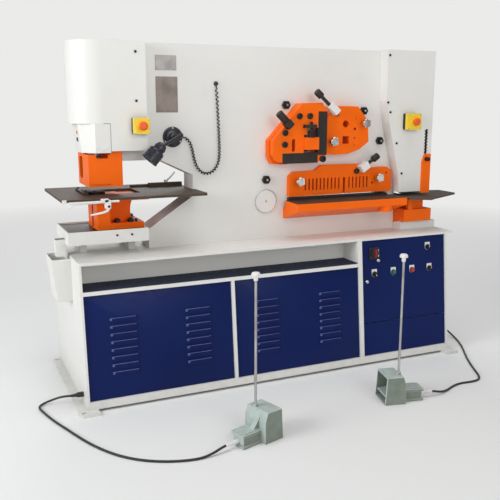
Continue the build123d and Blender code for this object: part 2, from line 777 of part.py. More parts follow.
with BuildPart() as notch_cover:
    with BuildSketch(face(COVER_REAR)):
        with BuildLine():
            Polyline(*notch_outline, close=True)
        make_face()
    extrude(amount=COVER_REAR - COVER_FRONT)
    with BuildSketch(face(COVER_REAR - COVER_SKIN)):
        with BuildLine():
            Polyline(*notch_outline, close=True)
        make_face()
        offset(amount=-COVER_SKIN, kind=Kind.INTERSECTION)
    extrude(amount=COVER_REAR - COVER_FRONT - 2 * COVER_SKIN, mode=Mode.SUBTRACT)
    # way for the frame plates at the left and for the notching punch below
    with BuildSketch(side(NOTCH_LEFT - 1)):
        with Locations((FRAME_MID, (FRAME_TOP - COVER_STEP) / 2)):
            Rectangle(FRAME_REAR - FRAME_FRONT, FRAME_TOP - COVER_STEP)
    extrude(amount=FRAME_RIGHT - NOTCH_LEFT + 1, mode=Mode.SUBTRACT)
    with BuildSketch(level(NOTCH_LOW)):
        with Locations(((FRAME_RIGHT + NOTCH_RIGHT) / 2, FRAME_MID)):
            Rectangle(
                NOTCH_RIGHT - FRAME_RIGHT - 2 * COVER_SKIN,
                COVER_REAR - COVER_FRONT - 2 * COVER_SKIN,
            )
    extrude(amount=COVER_SKIN, mode=Mode.SUBTRACT)
    with BuildSketch(face(COVER_FRONT)):
        with Locations((1660, 917), (1659, 679), (1675, 629), (1722, 467), (1762, 306)):
            Circle(COVER_SCREW / 2)
    extrude(amount=3)
    # toothed slot that the guard is set in
    with BuildSketch(face(COVER_FRONT)):
        with Locations((GUARD_SLOT, 450)):
            SlotOverall(178, 14, rotation=90)
        with Locations((GUARD_SLOT, 475)):
            with GridLocations(1, 16, 1, 8):
                Rectangle(26, 6, rotation=20)
    extrude(amount=-COVER_SKIN, mode=Mode.SUBTRACT)

# ---- punching station ----
with BuildPart() as punch_cylinder:
    with BuildSketch(level(CYLINDER_LOW)):
        with Locations((PUNCH_X, FRAME_MID)):
            Circle(CYLINDER_ROUND / 2)
        with Locations(((PUNCH_X + ARM_LEFT) / 2, FRAME_MID)):
            Rectangle(ARM_LEFT - PUNCH_X, FRAME_REAR - FRAME_FRONT)
    extrude(amount=FRAME_TOP - 2 * COVER_STEP - CYLINDER_LOW)
    with BuildSketch(level(CYLINDER_LOW)):
        with Locations((PUNCH_X, FRAME_MID)):
            Circle(RAM_BORE / 2)
    extrude(amount=200, mode=Mode.SUBTRACT)

RAM_LOW = 425
NUT_LOW = 395

with BuildPart() as punch_ram:
    with BuildSketch(
        Plane(
            origin=(LEFT_X + PUNCH_X, FRONT_Y + FRAME_MID, DECK_Z),
            x_dir=(1, 0, 0),
            z_dir=(0, -1, 0),
        )
    ):
        with BuildLine():
            Polyline(
                (0, PUNCH_TIP),
                (PUNCH_ROUND / 2, PUNCH_TIP),
                (PUNCH_ROUND / 2, NUT_LOW - 20),
                (PUNCH_ROUND / 2 + 6, NUT_LOW),
                (PUNCH_NUT / 2 - 4, NUT_LOW),
                (PUNCH_NUT / 2, NUT_LOW + 4),
                (PUNCH_NUT / 2, RAM_LOW + 8),
                (RAM_BORE / 2 - RAM_FIT, RAM_LOW + 12),
                (RAM_BORE / 2 - RAM_FIT, CYLINDER_LOW + 150),
                (0, CYLINDER_LOW + 150),
                close=True,
            )
        make_face()
    revolve(axis=Axis((LEFT_X + PUNCH_X, FRONT_Y + FRAME_MID, 0), (0, 0, 1)))

with BuildPart() as die:
    with BuildSketch(level(DIE_TOP - 36)):
        with Locations((PUNCH_X, FRAME_MID)):
            Circle(DIE_ROUND / 2)
            Circle(DIE_BORE / 2, mode=Mode.SUBTRACT)
    extrude(amount=36)

TRAY_FLOOR = TRAY_TOP - TRAY_INSET
BOSS_LEFT = 128
PEDESTAL_FRONT = 190
PEDESTAL_REAR = 386
FLANGE_TALL = 27

with BuildPart() as pedestal:
    # flange on the tray
    with BuildSketch(level(TRAY_FLOOR)):
        with Locations((345, PEDESTAL_REAR)):
            Rectangle(345 - BOSS_LEFT, PEDESTAL_REAR - PEDESTAL_FRONT, align=(Align.MAX, Align.MAX))
    extrude(amount=FLANGE_TALL)
    # body with a hollowed right side
    with BuildSketch(face(PEDESTAL_REAR)):
        with BuildLine():
            Line((BOSS_LEFT, TRAY_FLOOR), (304, TRAY_FLOOR))
            Line((304, TRAY_FLOOR), (304, TRAY_FLOOR + FLANGE_TALL + 6))
            ThreePointArc((304, TRAY_FLOOR + FLANGE_TALL + 6), (296, 172), (306, 232))
            Polyline((306, 232), (306, TABLE_UNDER), (BOSS_LEFT, TABLE_UNDER), (BOSS_LEFT, TRAY_FLOOR))
        make_face()
    extrude(amount=PEDESTAL_REAR - 245)
    # column in front of it
    with BuildSketch(level(TRAY_FLOOR)):
        with Locations((BOSS_LEFT, PEDESTAL_FRONT)):
            RectangleRounded(63, 80, 6, align=(Align.MIN, Align.MIN))
    extrude(amount=TABLE_UNDER - TRAY_FLOOR)
    # plate that carries the table, and the die holder standing up through it
    with BuildSketch(level(TABLE_UNDER - 12)):
        with Locations((215, FRAME_MID)):
            RectangleRounded(280, 330, 8)
    extrude(amount=12)
    with BuildSketch(level(TABLE_UNDER)):
        with Locations((PUNCH_X + 30, FRAME_MID)):
            RectangleRounded(150, 130, 8)
    extrude(amount=4)
    with BuildSketch(level(DIE_TOP - 36)):
        with Locations((PUNCH_X, FRAME_MID)):
            Circle(DIE_ROUND / 2)
    extrude(amount=60, mode=Mode.SUBTRACT)
    with BuildSketch(level(TRAY_FLOOR)):
        with Locations((PUNCH_X, FRAME_MID)):
            Circle(DIE_BORE / 2 + 8)
    extrude(amount=200, mode=Mode.SUBTRACT)
    # flange bolts: hexagon heads with studs
    with BuildSketch(level(TRAY_FLOOR + FLANGE_TALL)):
        with Locations((225, 216), (289, 216), (327, 372)):
            RegularPolygon(13, 6, major_radius=False)
        with Locations((314, 216)):
            Circle(6)
    extrude(amount=13)
    with BuildSketch(level(TRAY_FLOOR + FLANGE_TALL + 13)):
        with Locations((225, 216), (289, 216)):
            Circle(8)
    extrude(amount=7)

LEGS = ((70, 261), (295, 247), (70, 400), (295, 400))

with BuildPart() as tray:
    with BuildSketch(level(TRAY_LOW)):
        with Locations((TRAY_LEFT, TRAY_FRONT)):
            Rectangle(TRAY_RIGHT - TRAY_LEFT, TRAY_REAR - TRAY_FRONT, align=(Align.MIN, Align.MIN))
    extrude(amount=TRAY_TOP - TRAY_LOW)
    with BuildSketch(level(TRAY_FLOOR)):
        with Locations((TRAY_LEFT + TRAY_WALL, TRAY_FRONT + TRAY_WALL)):
            Rectangle(
                TRAY_RIGHT - TRAY_LEFT - 2 * TRAY_WALL,
                TRAY_REAR - TRAY_FRONT - 2 * TRAY_WALL,
                align=(Align.MIN, Align.MIN),
            )
    extrude(amount=TRAY_INSET, mode=Mode.SUBTRACT)
    with BuildSketch(level(TRAY_LOW)):
        with Locations((TRAY_LEFT + TRAY_WALL, TRAY_FRONT + TRAY_WALL)):
            Rectangle(
                TRAY_RIGHT - TRAY_LEFT - 2 * TRAY_WALL,
                TRAY_REAR - TRAY_FRONT - 2 * TRAY_WALL,
                align=(Align.MIN, Align.MIN),
            )
    extrude(amount=TRAY_FLOOR - TRAY_PLATE - TRAY_LOW, mode=Mode.SUBTRACT)
    with BuildSketch(level(TRAY_LOW)):
        with Locations((PUNCH_X, FRAME_MID)):
            Circle(DIE_BORE / 2 + 8)
    extrude(amount=TRAY_TOP - TRAY_LOW, mode=Mode.SUBTRACT)
    with BuildSketch(level(0)):
        with Locations(*LEGS):
            Rectangle(30, 34)
    extrude(amount=TRAY_FLOOR - TRAY_PLATE)
    # chute that drops the slugs into the bin
    with BuildSketch(side(-60)):
        with BuildLine():
            Polyline((205, -4), (205, 74), (245, 74), (245, -4), close=True)
        make_face()
    extrude(amount=60 + TRAY_LEFT)
    with BuildSketch(face(242)):
        with BuildLine():
            Polyline((-57, -4), (-57, 71), (TRAY_LEFT, 71), (TRAY_LEFT, 50), (TRAY_LEFT - 6, -4), close=True)
        make_face()
    extrude(amount=34, mode=Mode.SUBTRACT)

with BuildPart() as punch_table:
    with BuildSketch(level(TABLE_UNDER)):
        with BuildLine():
            Polyline(
                (TABLE_LEFT, TABLE_FRONT),
                (TABLE_RIGHT, TABLE_FRONT),
                (TABLE_RIGHT, TABLE_REAR),
                (TABLE_LEFT, TABLE_REAR),
                close=True,
            )
        make_face()
        fillet(vertices(), 4)
        with Locations((THROAT_BACK, FRAME_MID)):
            Rectangle(
                2 * (TABLE_RIGHT - THROAT_BACK) + 20,
                FRAME_REAR - FRAME_FRONT + 1,
                align=(Align.MIN, Align.CENTER),
                mode=Mode.SUBTRACT,
            )
        with Locations((215, FRAME_MID)):
            RectangleRounded(240, 190, 10, mode=Mode.SUBTRACT)
    extrude(amount=TABLE_THICK)

with BuildPart() as table_fence:
    # fence bar on the rear of the table and its low guide strip
    with BuildSketch(level(TABLE_TOP)):
        with Locations((515, 396)):
            Rectangle(170, 22)
    extrude(amount=FENCE_TALL)
    with BuildSketch(level(TABLE_TOP)):
        with Locations((470, 420)):
            Rectangle(250, 26)
    extrude(amount=12)
    # gauge rod along the front edge with its clamp
    with BuildSketch(side(-20)):
        with Locations((TABLE_FRONT - 7, TABLE_UNDER - 2)):
            Circle(5)
    extrude(amount=216)
    with BuildSketch(face(TABLE_FRONT)):
        with Locations((146, TABLE_UNDER - 14)):
            RectangleRounded(26, 40, 5)
    extrude(amount=14)

LEVER_X = 146
LEVER_Z = TABLE_UNDER - 22

with BuildPart() as table_lever:
    with BuildSketch(face(TABLE_FRONT - 14 - LEVER_FIT)):
        with Locations((LEVER_X, LEVER_Z)):
            Circle(10)
    extrude(amount=14)
    with BuildSketch(
        Plane(
            origin=(LEFT_X + LEVER_X, FRONT_Y + TABLE_FRONT - 21, DECK_Z + LEVER_Z),
            z_dir=(-81, 0, -30),
        )
    ):
        Circle(5.5)
    extrude(amount=86, taper=1.5)

FENCE_LEVER_X = 520
FENCE_Y = 396
FENCE_TOP = TABLE_TOP + FENCE_TALL

with BuildPart() as fence_lever:
    with BuildSketch(level(FENCE_TOP + LEVER_FIT)):
        with Locations((FENCE_LEVER_X, FENCE_Y)):
            Circle(9)
    extrude(amount=12)
    with BuildSketch(
        Plane(
            origin=(LEFT_X + FENCE_LEVER_X, FRONT_Y + FENCE_Y, DECK_Z + FENCE_TOP + 7),
            z_dir=(50, 24, 36),
        )
    ):
        Circle(4)
    extrude(amount=72, taper=1)

# stripper: four plates round the punch, the right one hanging from the upper arm
with BuildPart() as stripper:
    with BuildSketch(level(STRIPPER_LOW)):
        with Locations(((STRIPPER_LEFT + STRIPPER_RIGHT) / 2, (STRIPPER_FRONT + STRIPPER_REAR) / 2)):
            Rectangle(STRIPPER_RIGHT - STRIPPER_LEFT, STRIPPER_REAR - STRIPPER_FRONT)
    extrude(amount=ARM_UNDER - STRIPPER_LOW)
    with BuildSketch(level(ARM_UNDER)):
        with Locations(((STRIPPER_LEFT + FLANGE_LEFT) / 2, (STRIPPER_FRONT + STRIPPER_REAR) / 2)):
            Rectangle(FLANGE_LEFT - STRIPPER_LEFT, STRIPPER_REAR - STRIPPER_FRONT)
    extrude(amount=STRIPPER_TOP - ARM_UNDER)
    with BuildSketch(level(STRIPPER_LOW + STRIPPER_WALL)):
        with Locations(((STRIPPER_LEFT + STRIPPER_RIGHT) / 2, (STRIPPER_FRONT + STRIPPER_REAR) / 2)):
            Rectangle(
                STRIPPER_RIGHT - STRIPPER_LEFT - 2 * STRIPPER_WALL,
                STRIPPER_REAR - STRIPPER_FRONT - 2 * STRIPPER_WALL,
            )
    extrude(amount=STRIPPER_TOP - STRIPPER_LOW, mode=Mode.SUBTRACT)
    # tall flanges beside the nose, front and rear
    for rear in (STRIPPER_FRONT + STRIPPER_WALL, STRIPPER_REAR):
        with BuildSketch(face(rear)):
            with Locations((FLANGE_LEFT, STRIPPER_LOW)):
                Rectangle(
                    STRIPPER_RIGHT - FLANGE_LEFT, TOWER_LOW - STRIPPER_LOW,
                    align=(Align.MIN, Align.MIN),
                )
        extrude(amount=STRIPPER_WALL)
    # hole for the punch in the sole
    with BuildSketch(level(STRIPPER_LOW)):
        with Locations((PUNCH_X, FRAME_MID)):
            Circle(PUNCH_ROUND / 2 + 5)
    extrude(amount=STRIPPER_WALL, mode=Mode.SUBTRACT)
    # tall window in the left wall
    with BuildSketch(side(STRIPPER_LEFT)):
        with Locations((FRAME_MID + 51, (STRIPPER_LOW + STRIPPER_TOP) / 2 + 8)):
            RectangleRounded(70, 100, 12)
    extrude(amount=STRIPPER_WALL, mode=Mode.SUBTRACT)
    # notch in the top of the front wall, step along its foot
    with BuildSketch(face(STRIPPER_FRONT + STRIPPER_WALL)):
        with Locations((158, STRIPPER_TOP)):
            Rectangle(54, 34)
    extrude(amount=STRIPPER_WALL, mode=Mode.SUBTRACT)
    with BuildSketch(face(STRIPPER_FRONT)):
        with Locations((STRIPPER_LEFT, STRIPPER_LOW)):
            Rectangle(FLANGE_LEFT - STRIPPER_LEFT, STRIPPER_WALL + 1, align=(Align.MIN, Align.MIN))
    extrude(amount=-STRIPPER_WALL / 2, mode=Mode.SUBTRACT)

# ---- angle shear: two layers of plate with the blades let in ----
angle_back = [
    (985, 417),
    (985, 495),
    (1153, 674),
    (1285, 677),
    (1291, 650),
    (1291, 419),
    (1079, 374),
    (1004, 379),
]
angle_front = [
    (990, 425),
    (990, 495),
    (1150, 675),
    (1250, 677),
    (1290, 645),
    (1290, 419),
    (1240, 385),
    (1041, 385),
    (1010, 395),
]
BLADE_V_LEFT = POCKET_RIGHT
BLADE_V_RIGHT = 1290
BLADE_V_LOW = 419
BLADE_V_TOP = 635
BLADE_H_LEFT = 1039
BLADE_H_LOW = 381
LAYER_DEEP = 38
JAW_LIFT = 16
JAW_TALL = 60
JAW_SCREW_X = 1196
JAW_SCREW = 12
JAW_COLLAR = 36
JAW_COLLAR_TALL = 34
BRIDGE_LOW = 555
BRIDGE_TALL = 16

KNOB_ROUND = 36
KNOB_LONG = 54
KNOB_SCREW = 16
KNOB_AXIS = Plane(
    origin=(LEFT_X + 1045, FRONT_Y + ANGLE_FRONT - KNOB_ROUND / 2 - 4, DECK_Z + 590),
    x_dir=(0, 1, 0),
    z_dir=(-1, 0, 1),
)

with BuildPart() as angle_shear_plate:
    with BuildSketch(face(FRAME_FRONT)):
        with BuildLine():
            Polyline(*angle_back, close=True)
        make_face()
    extrude(amount=LAYER_DEEP)
    with BuildSketch(face(FRAME_FRONT)):
        with BuildLine():
            Polyline(*angle_front, close=True)
        make_face()
        offset(amount=-4, kind=Kind.INTERSECTION)
    extrude(amount=FRAME_FRONT - ANGLE_FRONT - 10)
    with BuildSketch(face(ANGLE_FRONT + LAYER_DEEP)):
        with BuildLine():
            Polyline(*angle_front, close=True)
        make_face()
    extrude(amount=LAYER_DEEP)
    # pocket of the angle, narrower at the top, the slot beside it and the seats of the blades
    with BuildSketch(face(FRAME_FRONT)):
        with Locations((POCKET_RIGHT, POCKET_LOW)):
            Rectangle(POCKET_RIGHT - POCKET_LEFT, POCKET_STEP - POCKET_LOW, align=(Align.MAX, Align.MIN))
            Rectangle(POCKET_RIGHT - POCKET_UPPER, BRIDGE_LOW - POCKET_LOW, align=(Align.MAX, Align.MIN))
        with Locations((1101, 470)):
            SlotOverall(64, 19, rotation=90)
    extrude(amount=FRAME_FRONT - ANGLE_FRONT, mode=Mode.SUBTRACT)
    with BuildSketch(face(ANGLE_FRONT)):
        with Locations((BLADE_V_LEFT, BLADE_V_LOW)):
            Rectangle(BLADE_V_RIGHT - BLADE_V_LEFT, BLADE_V_TOP - BLADE_V_LOW, align=(Align.MIN, Align.MIN))
        with Locations((BLADE_H_LEFT, BLADE_H_LOW)):
            Rectangle(BLADE_V_LEFT - BLADE_H_LEFT, POCKET_LOW - BLADE_H_LOW, align=(Align.MIN, Align.MIN))
    extrude(amount=-BLADE_THICK, mode=Mode.SUBTRACT)
    # block that the knob's screw turns in
    with BuildSketch(KNOB_AXIS.offset(-4)):
        with Locations((-KNOB_ROUND / 2, 0)):
            Rectangle(KNOB_ROUND + 4, KNOB_ROUND, align=(Align.MIN, Align.CENTER))
        Circle(KNOB_SCREW / 2 + PIVOT_FIT, mode=Mode.SUBTRACT)
    extrude(amount=-36)
    # bridge over the pocket that the hold-down screw turns in
    with BuildSketch(level(BRIDGE_LOW)):
        with Locations((JAW_SCREW_X - 9, ANGLE_FRONT - 10)):
            Rectangle(68, 20)
        with Locations((JAW_SCREW_X, ANGLE_FRONT - 9)):
            Circle(JAW_SCREW / 2 + 0.4, mode=Mode.SUBTRACT)
    extrude(amount=BRIDGE_TALL)
    # cap screws
    with BuildSketch(face(ANGLE_FRONT)):
        with Locations((1131, 612), (1189, 612), (1053, 532), (1051, 475)):
            Circle(15)
            RegularPolygon(7.5, 6, mode=Mode.SUBTRACT)
    extrude(amount=8)

with BuildPart() as fixed_blades:
    with BuildSketch(face(ANGLE_FRONT)):
        with Locations((BLADE_V_LEFT, BLADE_V_LOW)):
            Rectangle(BLADE_V_RIGHT - BLADE_V_LEFT, BLADE_V_TOP - BLADE_V_LOW, align=(Align.MIN, Align.MIN))
        with Locations((BLADE_H_LEFT, BLADE_H_LOW)):
            Rectangle(BLADE_V_LEFT - BLADE_H_LEFT, POCKET_LOW - BLADE_H_LOW, align=(Align.MIN, Align.MIN))
    extrude(amount=-BLADE_THICK)
    chamfer(faces().sort_by(Axis.Y)[0].edges(), 1)
    # lower blade of the flat shear, lying along the table
    with BuildSketch(face(FRAME_FRONT + PLATE_THICK)):
        with Locations((WINDOW_LEFT, WINDOW_LOW)):
            Rectangle(WINDOW_RIGHT - WINDOW_LEFT, BLADE_TOP - WINDOW_LOW, align=(Align.MIN, Align.MIN))
    extrude(amount=PLATE_THICK + 22)

# hold-down of the angle shear: a jaw under a screw that turns in the bridge
with BuildPart() as angle_hold_down:
    with BuildSketch(face(ANGLE_FRONT + 34)):
        with Locations((POCKET_LEFT + 0.5, POCKET_LOW + JAW_LIFT)):
            Rectangle(POCKET_RIGHT - POCKET_LEFT - 1, JAW_TALL, align=(Align.MIN, Align.MIN))
    extrude(amount=47)
    with BuildSketch(level(POCKET_LOW + JAW_LIFT + JAW_TALL)):
        with Locations((JAW_SCREW_X, ANGLE_FRONT - 9)):
            Circle(JAW_COLLAR / 2)
    extrude(amount=JAW_COLLAR_TALL)
    with BuildSketch(level(POCKET_LOW + JAW_LIFT + JAW_TALL)):
        with Locations((JAW_SCREW_X, ANGLE_FRONT - 9)):
            Circle(JAW_SCREW / 2)
    extrude(amount=BRIDGE_LOW + BRIDGE_TALL + 14 - POCKET_LOW - JAW_LIFT - JAW_TALL)

# knurled knob on a screw that turns in a block on the angle shear
with BuildPart() as angle_knob:
    with BuildSketch(KNOB_AXIS):
        Circle(KNOB_ROUND / 2)
    extrude(amount=KNOB_LONG)
    with BuildSketch(KNOB_AXIS):
        Circle(KNOB_SCREW / 2)
    extrude(amount=-26)

# ---- bar shear ----
BAR_CLAMP = Plane(
    origin=(LEFT_X + 1299, FRONT_Y + BAR_FRONT - CLAMP_BLOCK_DEEP / 2, DECK_Z + 667),
    x_dir=(0, 1, 0),
    z_dir=(-71, 0, 62),
)


def clamp_screw(seat, out):
    """A round screw standing in its block, with a knob on its outer end."""
    with BuildPart() as screw:
        with BuildSketch(seat.offset(-CLAMP_SEAT + 2)):
            Circle(CLAMP_ROD / 2)
        extrude(amount=CLAMP_SEAT - 2 + out)
        with BuildSketch(seat.offset(out)):
            Circle(CLAMP_KNOB / 2)
        extrude(amount=CLAMP_KNOB_LONG)
        chamfer(edges().filter_by(GeomType.CIRCLE).sort_by(Axis.Z)[-1], 2)
    return screw


bar_outline = [
    (1292, 597),
    (1365, 661),
    (1481, 659),
    (1543, 586),
    (1550, 478),
    (1494, 440),
    (1425, 419),
    (1345, 416),
    (1292, 424),
]

with BuildPart() as bar_shear_plate:
    with BuildSketch(face(FRAME_FRONT)):
        with BuildLine():
            Polyline(*bar_outline, close=True)
        make_face()
        with Locations((BAR_ROUND_X, BAR_ROUND_Z)):
            Circle(BAR_ROUND / 2, mode=Mode.SUBTRACT)
        with Locations((BAR_SQUARE_X, BAR_SQUARE_Z)):
            Rectangle(BAR_SQUARE, BAR_SQUARE, mode=Mode.SUBTRACT)
        # row of small holes for thin bar
        with Locations((1466, 545)):
            Circle(8, mode=Mode.SUBTRACT)
        with Locations((1464, 500)):
            Circle(5, mode=Mode.SUBTRACT)
        with Locations((1465, 463), (1468, 600)):
            Circle(3, mode=Mode.SUBTRACT)
    extrude(amount=FRAME_FRONT - BAR_FRONT)
    # slanting block that the clamp screw turns in, and the screw that holds it
    with BuildSketch(BAR_CLAMP):
        Rectangle(CLAMP_BLOCK_DEEP, 34)
    extrude(amount=-60)
    with BuildSketch(BAR_CLAMP):
        Circle(CLAMP_ROD / 2 + CLAMP_FIT)
    extrude(amount=-CLAMP_SEAT, mode=Mode.SUBTRACT)
    with BuildSketch(face(BAR_FRONT)):
        with Locations((1355, 619)):
            Circle(9)
            RegularPolygon(4, 6, mode=Mode.SUBTRACT)
    extrude(amount=8)

bar_clamp = clamp_screw(BAR_CLAMP, BAR_CLAMP_OUT)

# ---- flat shear: hold-down plate, table ----
FLAT_CLAMP = Plane(
    origin=(LEFT_X + 1557, FRONT_Y + HOLD_FRONT - CLAMP_BLOCK_DEEP / 2, DECK_Z + 362),
    x_dir=(0, 1, 0),
    z_dir=(73, 0, 48),
)
hold_outline = [
    (1105, 208),
    (1107, 312),
    (1131, 333),
    (1256, 337),
    (1294, 363),
    (1504, 362),
    (1588, 339),
    (1696, 341),
    (1723, 322),
    (1728, 211),
]

with BuildPart() as flat_hold_down:
    with BuildSketch(face(FRAME_FRONT)):
        with BuildLine():
            Polyline(*hold_outline, close=True)
        make_face()
        # sighting slots
        with Locations((1299, 266)):
            with GridLocations(22, 1, 10, 1):
                SlotOverall(61, 9, rotation=90, mode=Mode.SUBTRACT)
        with Locations((1516, 266)):
            with GridLocations(22, 1, 6, 1):
                SlotOverall(61, 9, rotation=90, mode=Mode.SUBTRACT)
        # wide slot, open below
        with Locations((1430, 180)):
            Rectangle(14, 116, align=(Align.CENTER, Align.MIN), mode=Mode.SUBTRACT)
    extrude(amount=FRAME_FRONT - HOLD_FRONT)
    # slanting block that the clamp screw turns in, and the screw that holds it
    with BuildSketch(FLAT_CLAMP):
        Rectangle(CLAMP_BLOCK_DEEP, 36)
    extrude(amount=-50)
    with BuildSketch(FLAT_CLAMP):
        Circle(CLAMP_ROD / 2 + CLAMP_FIT)
    extrude(amount=-CLAMP_SEAT, mode=Mode.SUBTRACT)
    with BuildSketch(face(HOLD_FRONT)):
        with Locations((1502, 325)):
            Circle(14)
            RegularPolygon(6, 6, mode=Mode.SUBTRACT)
    extrude(amount=10)

flat_clamp = clamp_screw(FLAT_CLAMP, FLAT_CLAMP_OUT)

with BuildPart() as shear_table:
    with BuildSketch(side(1086)):
        with BuildLine():
            Polyline(
                (60, 150),
                (FRAME_FRONT, 95),
                (FRAME_FRONT, WINDOW_LOW),
                (FRAME_FRONT - 22, WINDOW_LOW),
                (FRAME_FRONT - 22, BLADE_TOP - 10),
                (60, BLADE_TOP - 13),
                close=True,
            )
        make_face()
    extrude(amount=652)
    # boss under the table
    with BuildSketch(level(118)):
        with Locations((1625, 95)):
            Circle(34)
    extrude(amount=40)

# ---- star knobs on their studs ----
STAR_PLACES = {
    "star_knob_bar_right": (1508, 574, BAR_FRONT),
    "star_knob_bar_left": (1322, 485, BAR_FRONT),
    "star_knob_flat_left": (1151, 287, HOLD_FRONT),
    "star_knob_flat_right": (1625, 288, HOLD_FRONT),
}
star_knobs = {}
for name, (along, height, seat) in STAR_PLACES.items():
    with BuildPart() as star:
        with BuildSketch(face(seat - LEVER_FIT)):
            with Locations((along, height)):
                Circle(STAR_HUB / 2)
        extrude(amount=STAR_HUB_LONG)
        with BuildSketch(face(seat - LEVER_FIT - STAR_HUB_LONG)):
            with Locations((along, height)):
                Circle(STAR_ROUND / 2)
                with PolarLocations(STAR_ROUND / 2 + 4, 5):
                    Circle(8, mode=Mode.SUBTRACT)
        extrude(amount=STAR_THICK)
        chamfer(faces().sort_by(Axis.Y)[0].edges(), 1.5)
    star_knobs[name] = star

# ---- notching station ----
notch_table_outline = [
    (1752, 200),
    (1755, 68),
    (1850, 0),
    (1893, 28),
    (2128, 150),
    (2130, 290),
    (1985, 330),
    (1790, 330),
]

with BuildPart() as notch_table:
    with BuildSketch(level(NOTCH_TABLE_TOP - NOTCH_TABLE_THICK)):
        with BuildLine():
            Polyline(*notch_table_outline, close=True)
        make_face()
        # opening over the notching die and room for the frame
        with Locations((NOTCH_PUNCH_X, FRAME_MID)):
            Rectangle(NOTCH_PUNCH_WIDE + 4, 90, mode=Mode.SUBTRACT)
        with Locations((FRAME_RIGHT - 40, FRAME_MID)):
            Rectangle(80, FRAME_REAR - FRAME_FRONT, mode=Mode.SUBTRACT)
    extrude(amount=NOTCH_TABLE_THICK)

with BuildPart() as notch_block:
    # die block under the table
    with BuildSketch(level(112)):
        with Locations((1812, 140)):
            Rectangle(90, 130, align=(Align.MIN, Align.MIN))
        with Locations((1793, 122)):
            Rectangle(26, 26, align=(Align.MIN, Align.MIN))
    extrude(amount=NOTCH_TABLE_TOP - NOTCH_TABLE_THICK - 112)
    with BuildSketch(level(46)):
        with Locations((1767, 120)):
            Rectangle(176, 230, align=(Align.MIN, Align.MIN))
    extrude(amount=66)
    with BuildSketch(level(0)):
        with Locations((1767, 150)):
            Rectangle(227, 200, align=(Align.MIN, Align.MIN))
    extrude(amount=40)
    with BuildSketch(level(40)):
        with Locations((1767, 160)):
            Rectangle(170, 190, align=(Align.MIN, Align.MIN))
    extrude(amount=6)
    # die opening that the notching punch enters
    with BuildSketch(level(60)):
        with Locations((NOTCH_PUNCH_X, FRAME_MID)):
            Rectangle(NOTCH_PUNCH_WIDE + 4, 90)
    extrude(amount=NOTCH_TABLE_TOP - 60, mode=Mode.SUBTRACT)

with BuildPart() as notch_guard:
    with BuildSketch(face(COVER_FRONT - LEVER_FIT)):
        with BuildLine():
            Polyline(
                (GUARD_LEFT, GUARD_LOW),
                (GUARD_RIGHT, GUARD_LOW),
                (GUARD_RIGHT, GUARD_TOP),
                (GUARD_LEFT + 14, GUARD_TOP),
                (GUARD_LEFT, GUARD_TOP - 40),
                close=True,
            )
        make_face()
    extrude(amount=8)
    # clamp knob, and its stud through the slot of the cover
    with BuildSketch(face(COVER_FRONT - LEVER_FIT - 8)):
        with Locations((GUARD_SLOT, GUARD_TOP - 27)):
            Circle(11)
    extrude(amount=22)
    with BuildSketch(face(COVER_FRONT - LEVER_FIT)):
        with Locations((GUARD_SLOT, GUARD_TOP - 27)):
            Circle(5.5)
    extrude(amount=-12)

# ---- emergency stops ----
STOP_BOXES = ((328, 575, 72, 72), (1800, 580, 84, 84))
STOP_DEEP_LEFT = 40

with BuildPart() as estop_boxes:
    for along, height, wide, tall in STOP_BOXES:
        with BuildSketch(face(COVER_FRONT)):
            with Locations((along, height)):
                RectangleRounded(wide, tall, 5)
        extrude(amount=STOP_BOX_DEEP)
        with BuildSketch(face(COVER_FRONT - STOP_BOX_DEEP)):
            with Locations((along, height)):
                Circle(18)
                Circle(8.5, mode=Mode.SUBTRACT)
        extrude(amount=6)
        with BuildSketch(face(COVER_FRONT - STOP_BOX_DEEP + 14)):
            with Locations((along, height)):
                Circle(8.5)
        extrude(amount=20, mode=Mode.SUBTRACT)


def stop_button_at(place):
    """Mushroom button on a stem that slides in the box."""
    with BuildPart() as button:
        with BuildSketch(face(COVER_FRONT - STOP_BOX_DEEP + 5)):
            with Locations((place[0], place[1])):
                Circle(8.2)
        extrude(amount=19)
        with BuildSketch(face(COVER_FRONT - STOP_BOX_DEEP - 14)):
            with Locations((place[0], place[1])):
                Circle(STOP_ROUND / 2)
        extrude(amount=15)
        fillet(button.faces().sort_by(Axis.Y)[0].edges(), 9)
    return button


estop_left = stop_button_at(STOP_BOXES[0])
estop_right = stop_button_at(STOP_BOXES[1])

# ---- lamp ----
with BuildPart() as lamp_base:
    with BuildSketch(face(FRAME_FRONT)):
        with Locations((LAMP_X, LAMP_Z)):
            Circle(LAMP_BASE / 2)
        with Locations((GROMMET_X, GROMMET_Z)):
            Circle(11)
    extrude(amount=14, taper=8)

LAMP_JOINT = FRAME_FRONT - 14.3

with BuildPart() as lamp_arm:
    with BuildSketch(face(LAMP_JOINT)):
        with Locations((LAMP_X, LAMP_Z)):
            Circle(22)
    extrude(amount=18)
    with BuildSketch(
        Plane(
            origin=(LEFT_X + LAMP_X, FRONT_Y + LAMP_JOINT - 10, DECK_Z + LAMP_Z),
            x_dir=(0, 0, 1),
            z_dir=(-112, -70, -52),
        )
    ):
        Circle(8)
    extrude(amount=110)
    with BuildSketch(
        Plane(
            origin=(LEFT_X + LAMP_X - 82, FRONT_Y + LAMP_JOINT - 61, DECK_Z + LAMP_Z - 38),
            x_dir=(0, 0, 1),
            z_dir=(-70, -60, -62),
        )
    ):
        Circle(20)
    extrude(amount=34)
    with BuildSketch(
        Plane(
            origin=(LEFT_X + LAMP_X - 100, FRONT_Y + LAMP_JOINT - 77, DECK_Z + LAMP_Z - 54),
            x_dir=(0, 0, 1),
            z_dir=(-70, -60, -62),
        )
    ):
        Circle(34)
    extrude(amount=66)

